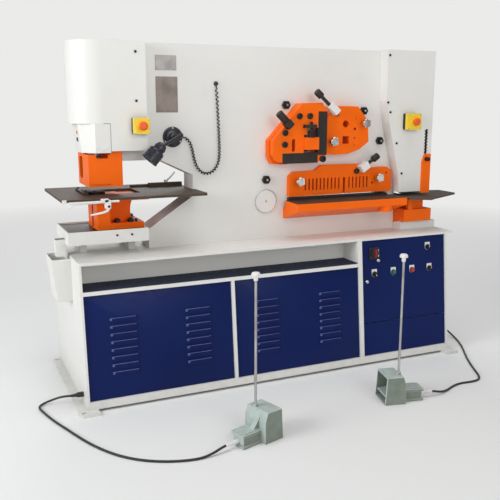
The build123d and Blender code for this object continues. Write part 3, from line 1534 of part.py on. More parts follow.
# ---- foot pedals ----
PEDALS = ((610, -569, 17), (1293, -476, 167))
pedal_parts = {}
guards = []
for number, (along, depth, turn) in enumerate(PEDALS, start=1):
    cosine = math.cos(math.radians(turn))
    sine = math.sin(math.radians(turn))
    ground = Plane(
        origin=(LEFT_X + along, FRONT_Y + depth, 0), x_dir=(cosine, sine, 0), z_dir=(0, 0, 1)
    )
    upright = Plane(
        origin=(LEFT_X + along, FRONT_Y + depth, 0), x_dir=(cosine, sine, 0), z_dir=(sine, -cosine, 0)
    )
    with BuildPart() as housing:
        # cast guard, open at the front and round over the top
        with BuildSketch(upright.offset(-PEDAL_LONG / 2)):
            with BuildLine():
                Polyline(
                    (-PEDAL_WIDE / 2, 0),
                    (PEDAL_WIDE / 2, 0),
                    (PEDAL_WIDE / 2 - 8, PEDAL_TALL),
                    (-PEDAL_WIDE / 2 + 14, PEDAL_TALL),
                    (-PEDAL_WIDE / 2, PEDAL_TALL - 40),
                    close=True,
                )
            make_face()
        extrude(amount=PEDAL_LONG)
        fillet(edges().filter_by(lambda edge: edge.center().Z > 1), 5)
        with BuildSketch(upright.offset(-PEDAL_LONG / 2 + PEDAL_WALL)):
            with BuildLine():
                Polyline(
                    (-PEDAL_WIDE / 2 + PEDAL_WALL, PEDAL_WALL),
                    (PEDAL_WIDE / 2 + 1, PEDAL_WALL),
                    (PEDAL_WIDE / 2 + 1, PEDAL_TALL - PEDAL_WALL),
                    (-PEDAL_WIDE / 2 + 18, PEDAL_TALL - PEDAL_WALL),
                    (-PEDAL_WIDE / 2 + PEDAL_WALL, PEDAL_TALL - 44),
                    close=True,
                )
            make_face()
        extrude(amount=PEDAL_LONG - 2 * PEDAL_WALL, mode=Mode.SUBTRACT)
        # junction box behind the guard: foot, narrower body, lid
        for low, tall, long, deep in (
            (0, 9, BOX_LONG, 80),
            (9, BOX_TALL - 23, BOX_LONG - 6, 66),
            (BOX_TALL - 14, 10, BOX_LONG, 78),
            (BOX_TALL - 4, 4, BOX_LONG - 14, 64),
        ):
            with BuildSketch(ground.offset(low)):
                with Locations((-PEDAL_WIDE / 2 + PEDAL_WALL / 2, 0)):
                    RectangleRounded(long, deep, 6, align=(Align.MAX, Align.CENTER))
            extrude(amount=tall)
        # brace from the lid to the top of the guard
        with BuildSketch(upright.offset(2)):
            with BuildLine():
                Polyline(
                    (-PEDAL_WIDE / 2 + 9, PEDAL_TALL - 14),
                    (-PEDAL_WIDE / 2 - 34, BOX_TALL - 5),
                    (-PEDAL_WIDE / 2 + 3, BOX_TALL - 5),
                    close=True,
                )
            make_face()
        extrude(amount=24)
        # cable entry
        with BuildSketch(
            Plane(
                origin=ground.from_local_coords((-PEDAL_WIDE / 2 + PEDAL_WALL / 2 - BOX_LONG + 8, 0, 25)),
                x_dir=(0, 0, 1),
                z_dir=(-cosine, -sine, 0),
            )
        ):
            Circle(9)
        extrude(amount=30)
        # carrying rod with its head
        with BuildSketch(ground.offset(PEDAL_TALL - PEDAL_WALL)):
            with Locations((-25, 24)):
                Circle(ROD_ROUND)
        extrude(amount=PEDAL_WALL + 10)
        with BuildSketch(ground.offset(PEDAL_TALL)):
            with Locations((-25, 24)):
                Circle(ROD_ROUND / 2)
        extrude(amount=ROD_TOP - PEDAL_TALL - 8)
        with BuildSketch(ground.offset(ROD_TOP - 34)):
            with Locations((-25, 24)):
                Circle(9)
        extrude(amount=20)
        with BuildSketch(ground.offset(ROD_TOP - 16)):
            with Locations((-25, 24)):
                Circle(ROD_HEAD / 2)
        extrude(amount=16)
        fillet(faces().sort_by(Axis.Z)[-1].edges(), 10)
    guards.append(housing.part)
    with BuildPart() as treadle:
        with BuildSketch(upright.offset(-PEDAL_LONG / 2 + PEDAL_WALL + 4)):
            with BuildLine():
                Polyline((-36, 44), (44, 34), (44, 40), (-36, 52), close=True)
            make_face()
        extrude(amount=PEDAL_LONG - 2 * PEDAL_WALL - 8)
        # pivot tube between the cheeks of the guard
        with BuildSketch(upright.offset(-PEDAL_LONG / 2 + PEDAL_WALL + LEVER_FIT)):
            with Locations((-36, 48)):
                Circle(5.5)
        extrude(amount=PEDAL_LONG - 2 * PEDAL_WALL - 2 * LEVER_FIT)
    pedal_parts[f"treadle_{number}"] = treadle

with BuildPart() as pedal_housings:
    add(guards)


# ---- cords ----
def bend_radii(name, points):
    """Bend radii of a cord's path, as large as the two runs at each corner allow."""
    places = [Vector(*point) for point in points]
    radii = []
    for before, here, after in zip(places, places[1:], places[2:]):
        turn = (here - before).get_angle(after - here)
        shorter = min((here - before).length, (after - here).length)
        radii.append(0.45 * shorter / math.tan(math.radians(turn / 2)))
    print(name, "bend radii", [round(radius) for radius in radii])
    return radii


def cord_points(points):
    return [(LEFT_X + along, FRONT_Y + depth, DECK_Z + height) for along, depth, height in points]


left_route = cord_points([
    (-GLAND_LONG, *GLAND_LEFT),
    (-50, *GLAND_LEFT),
    (-83, 52, FLOOR + 49),
    (-110, 82, FLOOR + 34),
    (-139, 108, FLOOR + 15),
    (-165, 110, FLOOR + 7),
    (-185, 92, FLOOR_RUN),
    (-189, 64, FLOOR_RUN),
    (-180, 20, FLOOR_RUN),
    (-163, -48, FLOOR_RUN),
    (-144, -110, FLOOR_RUN),
    (-117, -186, FLOOR_RUN),
    (-91, -262, FLOOR_RUN),
    (-57, -352, FLOOR_RUN),
    (-18, -432, FLOOR_RUN),
    (33, -510, FLOOR_RUN),
    (101, -576, FLOOR_RUN),
    (180, -621, FLOOR_RUN),
    (258, -645, FLOOR_RUN),
    (316, -650, FLOOR_RUN),
    (366, -642, FLOOR + 13),
    (412.1, -629.5, FLOOR + 25),
    (450.3, -617.8, FLOOR + 25),
])
right_route = cord_points([
    (END_SPAN + GLAND_LONG, *GLAND_RIGHT),
    (END_SPAN + 64, *GLAND_RIGHT),
    (END_SPAN + 112, 243, FLOOR + 85),
    (END_SPAN + 154, 218, FLOOR + 61),
    (END_SPAN + 179, 174, FLOOR + 34),
    (END_SPAN + 185, 116, FLOOR + 12),
    (END_SPAN + 166, 52, FLOOR_RUN),
    (END_SPAN + 129, -22, FLOOR_RUN),
    (END_SPAN + 83, -98, FLOOR_RUN),
    (END_SPAN + 34, -172, FLOOR_RUN),
    (1943, -256, FLOOR_RUN),
    (1894, -350, FLOOR_RUN),
    (1862, -418, FLOOR_RUN),
    (1828, -462, FLOOR_RUN),
    (1777, -472, FLOOR_RUN),
    (1706, -462, FLOOR_RUN),
    (1644, -480, FLOOR_RUN),
    (1592, -507, FLOOR_RUN),
    (1540, -526, FLOOR + 13),
    (1494.7, -522.6, FLOOR + 25),
    (1455.7, -513.6, FLOOR + 25),
])

with BuildPart() as floor_cord_left:
    with BuildLine() as left_path:
        FilletPolyline(*left_route, radius=bend_radii("floor_cord_left", left_route))
    with BuildSketch(Plane(origin=left_path.line @ 0, z_dir=left_path.line % 0)):
        Circle(FLOOR_CORD / 2)
    sweep(path=left_path.line)

with BuildPart() as floor_cord_right:
    with BuildLine() as right_path:
        FilletPolyline(*right_route, radius=bend_radii("floor_cord_right", right_route))
    with BuildSketch(Plane(origin=right_path.line @ 0, z_dir=right_path.line % 0)):
        Circle(FLOOR_CORD / 2)
    sweep(path=right_path.line)

# curly lamp cord, the outer shape of its coil hanging in a loop
coil_route = cord_points([
    (722, COIL_Y, 754),
    (726, COIL_Y, 690),
    (731, COIL_Y, 590),
    (735, COIL_Y, 490),
    (736, COIL_Y, 424),
    (725, COIL_Y, 380),
    (700, COIL_Y, 349),
    (666, COIL_Y, 339),
    (634, COIL_Y, 353),
    (614, COIL_Y, 385),
    (604, COIL_Y, 422),
    (597, COIL_Y, 460),
    (586, COIL_Y, 494),
    (566, COIL_Y, 513),
    (550, COIL_Y, 519),
])
with BuildPart() as lamp_coil:
    with BuildLine() as coil_path:
        FilletPolyline(*coil_route, radius=bend_radii("lamp_coil", coil_route))
    with BuildSketch(Plane(origin=coil_path.line @ 0, z_dir=coil_path.line % 0)):
        Circle(COIL_ROUND / 2)
    sweep(path=coil_path.line)

# ---- write the pieces ----
pieces = {
    "deck": deck,
    "end_frames": end_frames,
    "base_frame": base_frame,
    "shelf_mat": shelf_mat,
    "door_left": door_left,
    "door_middle": door_middle,
    "control_panel": control_panel,
    "control_bezels": control_bezels,
    "start_button": start_button,
    "stop_button": stop_button,
    "selector_top": selector_top,
    "selector_left": selector_left,
    "selector_right": selector_right,
    "main_switch": main_switch,
    "slug_box": slug_box,
    "cable_glands": cable_glands,
    "frame_plate_front": frame_plate_front,
    "frame_plate_rear": frame_plate_rear,
    "frame_spacers": frame_spacers,
    "shear_beam": shear_beam,
    "tower_cover": tower_cover,
    "nose_cover": nose_cover,
    "notch_cover": notch_cover,
    "punch_cylinder": punch_cylinder,
    "punch_ram": punch_ram,
    "die": die,
    "pedestal": pedestal,
    "tray": tray,
    "punch_table": punch_table,
    "table_fence": table_fence,
    "table_lever": table_lever,
    "fence_lever": fence_lever,
    "stripper": stripper,
    "angle_shear_plate": angle_shear_plate,
    "fixed_blades": fixed_blades,
    "angle_hold_down": angle_hold_down,
    "angle_knob": angle_knob,
    "bar_shear_plate": bar_shear_plate,
    "bar_clamp": bar_clamp,
    "flat_hold_down": flat_hold_down,
    "flat_clamp": flat_clamp,
    "shear_table": shear_table,
    "notch_table": notch_table,
    "notch_block": notch_block,
    "notch_guard": notch_guard,
    "estop_boxes": estop_boxes,
    "estop_left": estop_left,
    "estop_right": estop_right,
    "lamp_base": lamp_base,
    "lamp_arm": lamp_arm,
    "pedal_housings": pedal_housings,
    "lamp_coil": lamp_coil,
    "floor_cord_left": floor_cord_left,
    "floor_cord_right": floor_cord_right,
}
pieces.update(star_knobs)
pieces.update(pedal_parts)
for name, piece in pieces.items():
    piece.part.label = name
    export_step(piece.part, f"parts/{name}.step")
print(len(pieces), "pieces")
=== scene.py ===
"""Looks of the hydraulic ironworker: camera, stage, materials, cords and fine pieces.

Shop places are in millimetres: along from the left end, back from the deck's front edge and up from
the deck. Their order is along, back, up, apart from front(), which takes along, up, back.
"""

import math

import bmesh
import bpy
from mathutils import Matrix, Vector
from mathutils.geometry import interpolate_bezier


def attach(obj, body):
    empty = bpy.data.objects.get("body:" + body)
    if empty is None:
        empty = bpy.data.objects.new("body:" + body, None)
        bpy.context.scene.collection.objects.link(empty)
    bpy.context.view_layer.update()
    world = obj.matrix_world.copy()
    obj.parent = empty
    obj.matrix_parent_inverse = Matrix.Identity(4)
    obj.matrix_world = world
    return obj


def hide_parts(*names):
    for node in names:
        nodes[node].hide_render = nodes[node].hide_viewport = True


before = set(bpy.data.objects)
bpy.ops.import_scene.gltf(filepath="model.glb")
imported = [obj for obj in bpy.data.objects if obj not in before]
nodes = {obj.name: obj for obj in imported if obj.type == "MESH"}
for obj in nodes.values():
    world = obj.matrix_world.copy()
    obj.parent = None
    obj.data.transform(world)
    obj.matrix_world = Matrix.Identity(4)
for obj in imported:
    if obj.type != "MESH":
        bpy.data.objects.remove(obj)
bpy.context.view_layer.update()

MM = 0.001
# the deck's front left corner, which shop places are counted from, in the frame's millimetres
CORNER = Vector((-979, -280, 656))
FLOOR = -656
END_SPAN = 1958
# how far back the fronts of the frame plate and of the covers lie
FRAME_FRONT = 221
COVER_FRONT = 154
# the beam's pivot, along and up
PIVOT = (985, 190)

# the doors and the control panel lean back as they rise, a little behind the deck's front edge
FRONT_LEAN = 0.1
SLOPE = math.hypot(1, FRONT_LEAN)
PANEL_SET_BACK = 9


def at(along, back, up):
    """A shop place in the frame's metres."""
    return (CORNER + Vector((along, back, up))) * MM


# ---- camera: where the photograph was taken from, and its focal length in its own pixels ----
EYE = Vector((-1510.8, -3261.4, 1321.5))
EYE_TURNS = (78.4, 0, -24.1)
SENSOR = 36
PHOTO_SIDE = 500
FOCAL_PIXELS = 706

camera = bpy.data.objects.new("camera", bpy.data.cameras.new("camera"))
bpy.context.scene.collection.objects.link(camera)
camera.location = EYE * MM
camera.rotation_euler = [math.radians(turn) for turn in EYE_TURNS]
camera.data.sensor_width = SENSOR
camera.data.lens = SENSOR * FOCAL_PIXELS / PHOTO_SIDE
camera.data.clip_start = 0.05
camera.data.clip_end = 60
bpy.context.scene.camera = camera
bpy.context.scene.view_settings.view_transform = "Standard"


# ---- shader nodes ----
class Graph:
    """A material's node tree, with short calls for the nodes that the finishes share."""

    def __init__(self, name, colour, roughness, metallic=0.0, gloss=0.5):
        self.material = bpy.data.materials.new(name)
        self.material.use_nodes = True
        self.tree = self.material.node_tree
        self.shader = self.tree.nodes["Principled BSDF"]
        self.shader.inputs["Base Color"].default_value = (*colour, 1)
        self.shader.inputs["Roughness"].default_value = roughness
        self.shader.inputs["Metallic"].default_value = metallic
        self.shader.inputs["Specular IOR Level"].default_value = gloss
        self.material.diffuse_color = (*colour, 1)
        self.place = self.add("ShaderNodeTexCoord").outputs["Object"]

    def add(self, kind, **values):
        node = self.tree.nodes.new(kind)
        for name, value in values.items():
            setattr(node, name, value)
        return node

    def link(self, source, target):
        self.tree.links.new(source, target)

    def scaled(self, stretch):
        mapping = self.add("ShaderNodeMapping")
        mapping.inputs["Scale"].default_value = stretch
        self.link(self.place, mapping.inputs["Vector"])
        return mapping.outputs["Vector"]

    def noise(self, scale, detail=3.0, stretch=None):
        node = self.add("ShaderNodeTexNoise")
        node.inputs["Scale"].default_value = scale
        node.inputs["Detail"].default_value = detail
        self.link(self.place if stretch is None else self.scaled(stretch), node.inputs["Vector"])
        return node.outputs["Fac"]

    def span(self, value, low, high, to_low=0.0, to_high=1.0):
        node = self.add("ShaderNodeMapRange")
        limits = {"From Min": low, "From Max": high, "To Min": to_low, "To Max": to_high}
        for name, number in limits.items():
            node.inputs[name].default_value = number
        self.link(value, node.inputs["Value"])
        return node.outputs["Result"]

    def axis(self, letter):
        node = self.add("ShaderNodeSeparateXYZ")
        self.link(self.place, node.inputs["Vector"])
        return node.outputs[letter]

    def maths(self, operation, first, second=None):
        node = self.add("ShaderNodeMath", operation=operation)
        for value, socket in ((first, node.inputs[0]), (second, node.inputs[1])):
            if isinstance(value, (int, float)):
                socket.default_value = value
            elif value is not None:
                self.link(value, socket)
        return node.outputs["Value"]

    def ridges(self, letter, pitch):
        """A sine along one axis, for ribbed rubber and grips."""
        return self.maths("SINE", self.maths("MULTIPLY", self.axis(letter), 2 * math.pi / pitch))

    def corners(self, width):
        """Rises to 1 on sharp edges, where paint thins and steel is rubbed bright, and where the cast
        enamel takes a painted highlight.
        """
        bevel = self.add("ShaderNodeBevel", samples=4)
        bevel.inputs["Radius"].default_value = width
        turn = self.add("ShaderNodeVectorMath", operation="DOT_PRODUCT")
        self.link(bevel.outputs["Normal"], turn.inputs[0])
        self.link(self.add("ShaderNodeNewGeometry").outputs["Normal"], turn.inputs[1])
        return self.span(turn.outputs["Value"], 0.99, 0.8)

    def mix(self, share, first, second):
        node = self.add("ShaderNodeMix", data_type="RGBA")
        self.link(share, node.inputs["Factor"])
        for colour, socket in ((first, node.inputs["A"]), (second, node.inputs["B"])):
            if isinstance(colour, tuple):
                socket.default_value = (*colour, 1)
            else:
                self.link(colour, socket)
        return node.outputs["Result"]

    def colour(self, value):
        self.link(value, self.shader.inputs["Base Color"])

    def rough(self, value):
        self.link(value, self.shader.inputs["Roughness"])

    def relief(self, height, strength, distance, edge=0.0012):
        """Bump over softly rounded edges."""
        bump = self.add("ShaderNodeBump")
        bump.inputs["Strength"].default_value = strength
        bump.inputs["Distance"].default_value = distance
        self.link(height, bump.inputs["Height"])
        bevel = self.add("ShaderNodeBevel", samples=3)
        bevel.inputs["Radius"].default_value = edge
        self.link(bevel.outputs["Normal"], bump.inputs["Normal"])
        self.link(bump.outputs["Normal"], self.shader.inputs["Normal"])


def shade(colour, factor):
    return tuple(min(1.0, part * factor) for part in colour)


def paint(name, colour, roughness=0.38, peel=0.12, grime=0.0, drift=0.06, gloss=0.5, rubbed=0.0):
    """Sprayed enamel: slow drift of tone, orange peel, shop dust low down, thin paint on edges."""
    graph = Graph(name, colour, roughness, gloss=gloss)
    tone = graph.span(graph.noise(2.4, 4), 0.3, 0.7)
    colours = graph.mix(tone, shade(colour, 1 - drift), shade(colour, 1 + drift * 0.5))
    smudge = graph.span(graph.noise(9, 6), 0.58, 0.8, 0, 0.12 + grime * 0.3)
    colours = graph.mix(smudge, colours, shade(colour, 0.84))
    if rubbed:
        patches = graph.span(graph.noise(40, 5), 0.4, 0.6, 0, rubbed)
        worn = graph.maths("MULTIPLY", graph.corners(0.0016), patches)
        colours = graph.mix(worn, colours, tuple(0.55 * part + 0.4 for part in colour))
    if grime:
        low = graph.span(graph.axis("Z"), 0.0, 0.14, grime, 0.0)
        dusty = graph.maths("MULTIPLY", low, graph.noise(30, 5))
        colours = graph.mix(dusty, colours, (0.2, 0.17, 0.14))
    graph.colour(colours)
    graph.rough(graph.span(graph.noise(35, 4), 0.3, 0.7, roughness - 0.06, roughness + 0.1))
    graph.relief(graph.noise(420, 2), peel, 0.0004)
    return graph.material


def metal(
    name,
    colour,
    roughness,
    metallic,
    stain=None,
    grain=(1, 60, 1),
    scratch=0.2,
    rubbed=0.0,
    gloss=0.5,
):
    """Ground or blackened steel: drawn grain, patches of tarnish, scratches and bright edges."""
    graph = Graph(name, colour, roughness, metallic, gloss)
    patches = graph.span(graph.noise(14, 7), 0.38, 0.68)
    colours = graph.mix(patches, shade(colour, 1.12), stain or shade(colour, 0.7))
    lines = graph.noise(22, 5, stretch=grain)
    colours = graph.mix(graph.span(lines, 0.35, 0.75, 0, 0.45), colours, shade(colour, 0.6))
    if rubbed:
        spots = graph.span(graph.noise(70, 4), 0.35, 0.6, 0.2, rubbed)
        worn = graph.maths("MULTIPLY", graph.corners(0.0015), spots)
        colours = graph.mix(worn, colours, (0.5, 0.47, 0.43))
    graph.colour(colours)
    drawn = graph.noise(60, 5, stretch=grain)
    graph.rough(graph.span(drawn, 0.3, 0.7, roughness - 0.08, roughness + 0.12))
    graph.relief(lines, scratch, 0.0004, edge=0.0008)
    return graph.material


def moulded(name, colour, roughness, grain=900, depth=0.15, sheen=0.0, ribs=None, gloss=0.5):
    """Moulded plastic or rubber with a fine spark grain and slight handling marks."""
    graph = Graph(name, colour, roughness, gloss=gloss)
    marks = graph.span(graph.noise(28, 6), 0.45, 0.75, 0, 0.5)
    graph.colour(graph.mix(marks, shade(colour, 0.92), shade(colour, 1.25)))
    graph.rough(graph.span(graph.noise(50, 4), 0.3, 0.7, roughness - 0.05, roughness + 0.12))
    if ribs:
        graph.relief(graph.ridges("X", ribs), 0.6, 0.0012, edge=0.0008)
    else:
        graph.relief(graph.noise(grain, 2), depth, 0.0003, edge=0.0008)
    graph.shader.inputs["Sheen Weight"].default_value = sheen
    return graph.material


SWITCH_BASE_FRONT = 133


def switch_box_plastic(name, colour, base):
    """A switch box on a base of another colour: the colour changes halfway down its depth."""
    graph = Graph(name, colour, 0.34)
    marks = graph.span(graph.noise(28, 6), 0.45, 0.75, 0, 0.4)
    colours = graph.mix(marks, colour, shade(colour, 0.86))
    seam = (CORNER.y + SWITCH_BASE_FRONT) * MM
    rear = graph.span(graph.axis("Y"), seam, seam + 0.6 * MM)
    graph.colour(graph.mix(rear, colours, base))
    graph.rough(graph.span(graph.noise(50, 4), 0.3, 0.7, 0.3, 0.46))
    graph.relief(graph.noise(900, 2), 0.15, 0.0003)
    return graph.material


def cast_enamel(name, colour):
    """Enamel over a rough casting, dusty near the floor, with a painted highlight on its edges."""
    graph = Graph(name, colour, 0.34)
    tone = graph.span(graph.noise(22, 5), 0.35, 0.7)
    colours = graph.mix(tone, shade(colour, 0.86), shade(colour, 1.1))
    # painted highlight: the edges are mixed towards a light grey-green
    edges = graph.span(graph.corners(0.005), 0, 0.7, 0, 0.85)
    colours = graph.mix(edges, colours, (0.6, 0.66, 0.6))
    dust = graph.span(graph.axis("Z"), 0.0, 0.05, 0.5, 0.0)
    dusty = graph.maths("MULTIPLY", dust, graph.noise(60, 5))
    colours = graph.mix(dusty, colours, (0.2, 0.19, 0.16))
    graph.colour(colours)
    graph.rough(graph.span(graph.noise(40, 4), 0.3, 0.7, 0.28, 0.46))
    graph.relief(graph.noise(140, 3), 0.35, 0.0012, edge=0.003)
    return graph.material


WHITE = (0.76, 0.75, 0.72)
NAVY = (0.004, 0.0135, 0.094)
ORANGE = (0.96, 0.145, 0.002)
STEEL = (0.085, 0.063, 0.045)

white_paint = paint("white_paint", WHITE, 0.42, grime=0.3, drift=0.02, gloss=0.4)
navy_paint = paint("navy_paint", NAVY, 0.34, peel=0.18, drift=0.15, gloss=0.13)
# a lighter navy for the louvres' upper bends and left ends: a painted highlight
louvre_painted_highlight = paint(
    "louvre_painted_highlight", (0.085, 0.1, 0.27), 0.3, peel=0.05, drift=0.2, gloss=0.4
)
orange_paint = paint("orange_paint", ORANGE, 0.4, peel=0.1, gloss=0.14, rubbed=0.5)
tool_steel = metal(
    "tool_steel", STEEL, 0.56, 0.35, stain=(0.075, 0.052, 0.036), rubbed=0.9, gloss=0.25
)
blade_steel = metal(
    "blade_steel", (0.03, 0.027, 0.026), 0.42, 0.6, stain=(0.05, 0.036, 0.028), rubbed=0.4
)
dark_steel = metal("dark_steel", (0.02, 0.018, 0.019), 0.36, 0.6, rubbed=0.25)
bright_steel = metal(
    "bright_steel", (0.55, 0.54, 0.53), 0.3, 1.0, stain=(0.4, 0.37, 0.34), grain=(1, 1, 40)
)
chrome = metal("chrome", (0.78, 0.77, 0.76), 0.14, 1.0, stain=(0.6, 0.57, 0.55), scratch=0.04)
black_rubber = moulded("black_rubber", (0.018, 0.018, 0.019), 0.62, grain=500, depth=0.3, sheen=0.1)
coil_rubber = moulded("coil_rubber", (0.006, 0.006, 0.007), 0.6, gloss=0.2)
mat_rubber = moulded("mat_rubber", (0.02, 0.026, 0.052), 0.7, ribs=0.008, gloss=0.25)
black_plastic = moulded("black_plastic", (0.012, 0.013, 0.017), 0.42)
lamp_plastic = moulded("lamp_plastic", (0.016, 0.018, 0.028), 0.26)
red_plastic = moulded("red_plastic", (0.86, 0.1, 0.006), 0.34)
deep_red_plastic = moulded("deep_red_plastic", (0.5, 0.03, 0.02), 0.3)
grip_red_plastic = moulded("grip_red_plastic", (0.26, 0.014, 0.014), 0.34)
green_plastic = moulded("green_plastic", (0.015, 0.17, 0.12), 0.3)
white_plastic = moulded("white_plastic", (0.76, 0.76, 0.75), 0.36)
glass_white = moulded("glass_white", (0.62, 0.66, 0.68), 0.12)
yellow_plastic = switch_box_plastic("yellow_plastic", (0.88, 0.63, 0.025), (0.014, 0.014, 0.014))
pedal_paint = cast_enamel("pedal_paint", (0.45, 0.52, 0.49))
# a darker copy of the pedals' enamel for their long sides: painted shade
pedal_side_shade = cast_enamel("pedal_side_shade", (0.2, 0.24, 0.2))
plate_light = metal("plate_light", (0.5, 0.47, 0.45), 0.5, 0.4, grain=(40, 1, 1))
plate_dark = metal("plate_dark", (0.3, 0.25, 0.225), 0.55, 0.4, grain=(40, 1, 1))

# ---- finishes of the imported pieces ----
FINISHES = {
    white_paint: (
        "deck end_frames base_frame slug_box frame_plate_front frame_plate_rear "
        "tower_cover nose_cover notch_cover tray"
    ),
    navy_paint: "door_left door_middle control_panel",
    orange_paint: (
        "pedestal stripper angle_shear_plate bar_shear_plate flat_hold_down shear_table "
        "notch_block notch_guard angle_hold_down"
    ),
    tool_steel: "punch_table notch_table table_fence",
    blade_steel: "fixed_blades shear_beam bar_clamp flat_clamp angle_knob",
    dark_steel: "frame_spacers punch_cylinder die",
    bright_steel: "punch_ram",
    chrome: "star_knob_bar_right star_knob_bar_left star_knob_flat_left star_knob_flat_right",
    black_rubber: "floor_cord_left floor_cord_right lamp_coil cable_glands",
    mat_rubber: "shelf_mat",
    white_plastic: "table_lever fence_lever",
    black_plastic: (
        "selector_top selector_left selector_right main_switch control_bezels lamp_base lamp_arm"
    ),
    yellow_plastic: "estop_boxes",
    red_plastic: "estop_left estop_right",
    deep_red_plastic: "stop_button",
    green_plastic: "start_button",
    pedal_paint: "pedal_housings treadle_1 treadle_2",
}
for finish, names in FINISHES.items():
    for name in names.split():
        nodes[name].data.materials.clear()
        nodes[name].data.materials.append(finish)


# ---- second finishes: screws, bushes, blades and sides of the imported pieces; painted shade on the pedals' sides ----
# a face is proud of a plane where its middle lies this far in front
PROUD = 0.1
# how far back the fronts of these pieces lie
ANGLE_FRONT = 141
BAR_FRONT = 161
CLAMP_FRONT = 195
FENCE_FRONT = 50
# the pedals' places along and back, with their turns; a place past BETWEEN_PEDALS is in the second
PEDALS = ((610, -569, 17), (1293, -476, 167))
BETWEEN_PEDALS = 900
# the pedestal's screws: their places along and back, and their reaches
PEDESTAL_SCREWS = ((225, 216, 16), (289, 216, 16), (327, 372, 16), (314, 216, 7))


def second(name, finish, holds):
    """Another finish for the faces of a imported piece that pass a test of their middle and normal."""
    mesh = nodes[name].data
    mesh.materials.append(finish)
    spread = nodes[name].matrix_world
    for face in mesh.polygons:
        middle = (spread @ face.center) / MM - CORNER
        if holds(middle, face.normal):
            face.material_index = len(mesh.materials) - 1


def near(middle, along, up, reach):
    """Whether a place lies within reach of a line that runs straight back."""
    return math.hypot(middle.x - along, middle.z - up) < reach


def proud_of(back, *spot):
    """A test for the faces in front of a plane, all of them or only those near one spot."""
    return lambda p, n: p.y < back - PROUD and (not spot or near(p, *spot))


def off_panel(middle):
    """How far a place stands out from the slope of the doors and the control panel."""
    return (FRONT_LEAN * middle.z - middle.y) / SLOPE + PANEL_SET_BACK


def on_angle_blade(middle, normal):
    """The parts proud of the angle shear's plate, and the ledge in its opening."""
    ledge = 555 < middle.z < 572 and middle.y < 150 and normal.z > 0.9
    return ledge or middle.y < ANGLE_FRONT - PROUD


def on_pedestal_screw(middle, normal):
    if not (middle.x > 205 and middle.y < 390 and 134.5 < middle.z < 155):
        return False
    return any(
        math.hypot(middle.x - along, middle.y - back) < reach
        for along, back, reach in PEDESTAL_SCREWS
    )


def in_pedal(middle):
    """A shop place in its pedal's own length, width and height."""
    along, back, turn = PEDALS[middle.x > BETWEEN_PEDALS]
    cosine, sine = math.cos(math.radians(turn)), math.sin(math.radians(turn))
    x, y = middle.x - along, middle.y - back
    return Vector((x * cosine + y * sine, y * cosine - x * sine, middle.z - FLOOR))


def on_pedal_side(middle, normal):
    """The faces along a pedal's length, which take a painted shade."""
    turn = math.radians(PEDALS[middle.x > BETWEEN_PEDALS][2])
    return abs(normal.y * math.cos(turn) - normal.x * math.sin(turn)) > 0.85


second("frame_spacers", white_paint, lambda p, n: 250 < p.y < 322 or near(p, *PIVOT, 62))
second("tower_cover", dark_steel, proud_of(COVER_FRONT))
second("nose_cover", dark_steel, proud_of(COVER_FRONT - 1))
second("notch_cover", dark_steel, proud_of(COVER_FRONT))
second("angle_hold_down", dark_steel, lambda p, n: p.z > 508.5)
second("angle_shear_plate", blade_steel, on_angle_blade)
second("bar_shear_plate", white_paint, proud_of(BAR_FRONT))
second("bar_shear_plate", dark_steel, proud_of(BAR_FRONT, 1355, 619, 9.5))
second("flat_hold_down", white_paint, proud_of(CLAMP_FRONT))
second("flat_hold_down", dark_steel, proud_of(CLAMP_FRONT, 1502, 325, 14.5))
second("tray", blade_steel, lambda p, n: n.z > 0.9 and p.z < 108)
second("pedestal", dark_steel, on_pedestal_screw)
second("shear_table", tool_steel, lambda p, n: n.z > 0.9 and p.z > 185)
second("table_fence", white_plastic, proud_of(FENCE_FRONT))
second("notch_block", white_paint, lambda p, n: p.z < 46.5)
second("notch_guard", dark_steel, lambda p, n: p.y < 145.6 or p.y > 154)
second("main_switch", grip_red_plastic, lambda p, n: off_panel(p) > 14.6)
second("control_bezels", chrome, lambda p, n: near(p, 1540, -119, 12) or near(p, 1455, -224, 12))
# painted shade on the pedals' long sides
second("pedal_housings", pedal_side_shade, on_pedal_side)
second("pedal_housings", bright_steel, lambda p, n: in_pedal(p).z > 140.5)
second("pedal_housings", white_plastic, lambda p, n: in_pedal(p).z > 650 or in_pedal(p).x < -145.2)


# ---- stage: pale floor that fades into the background, and soft light ----
BACKDROP = (0.83, 0.83, 0.82)
# in metres: the ground's radius, and between which distances it fades
GROUND_REACH = 14
FADE_FROM, FADE_TO = 2.2, 6.5
FILL_POWER = 0.36


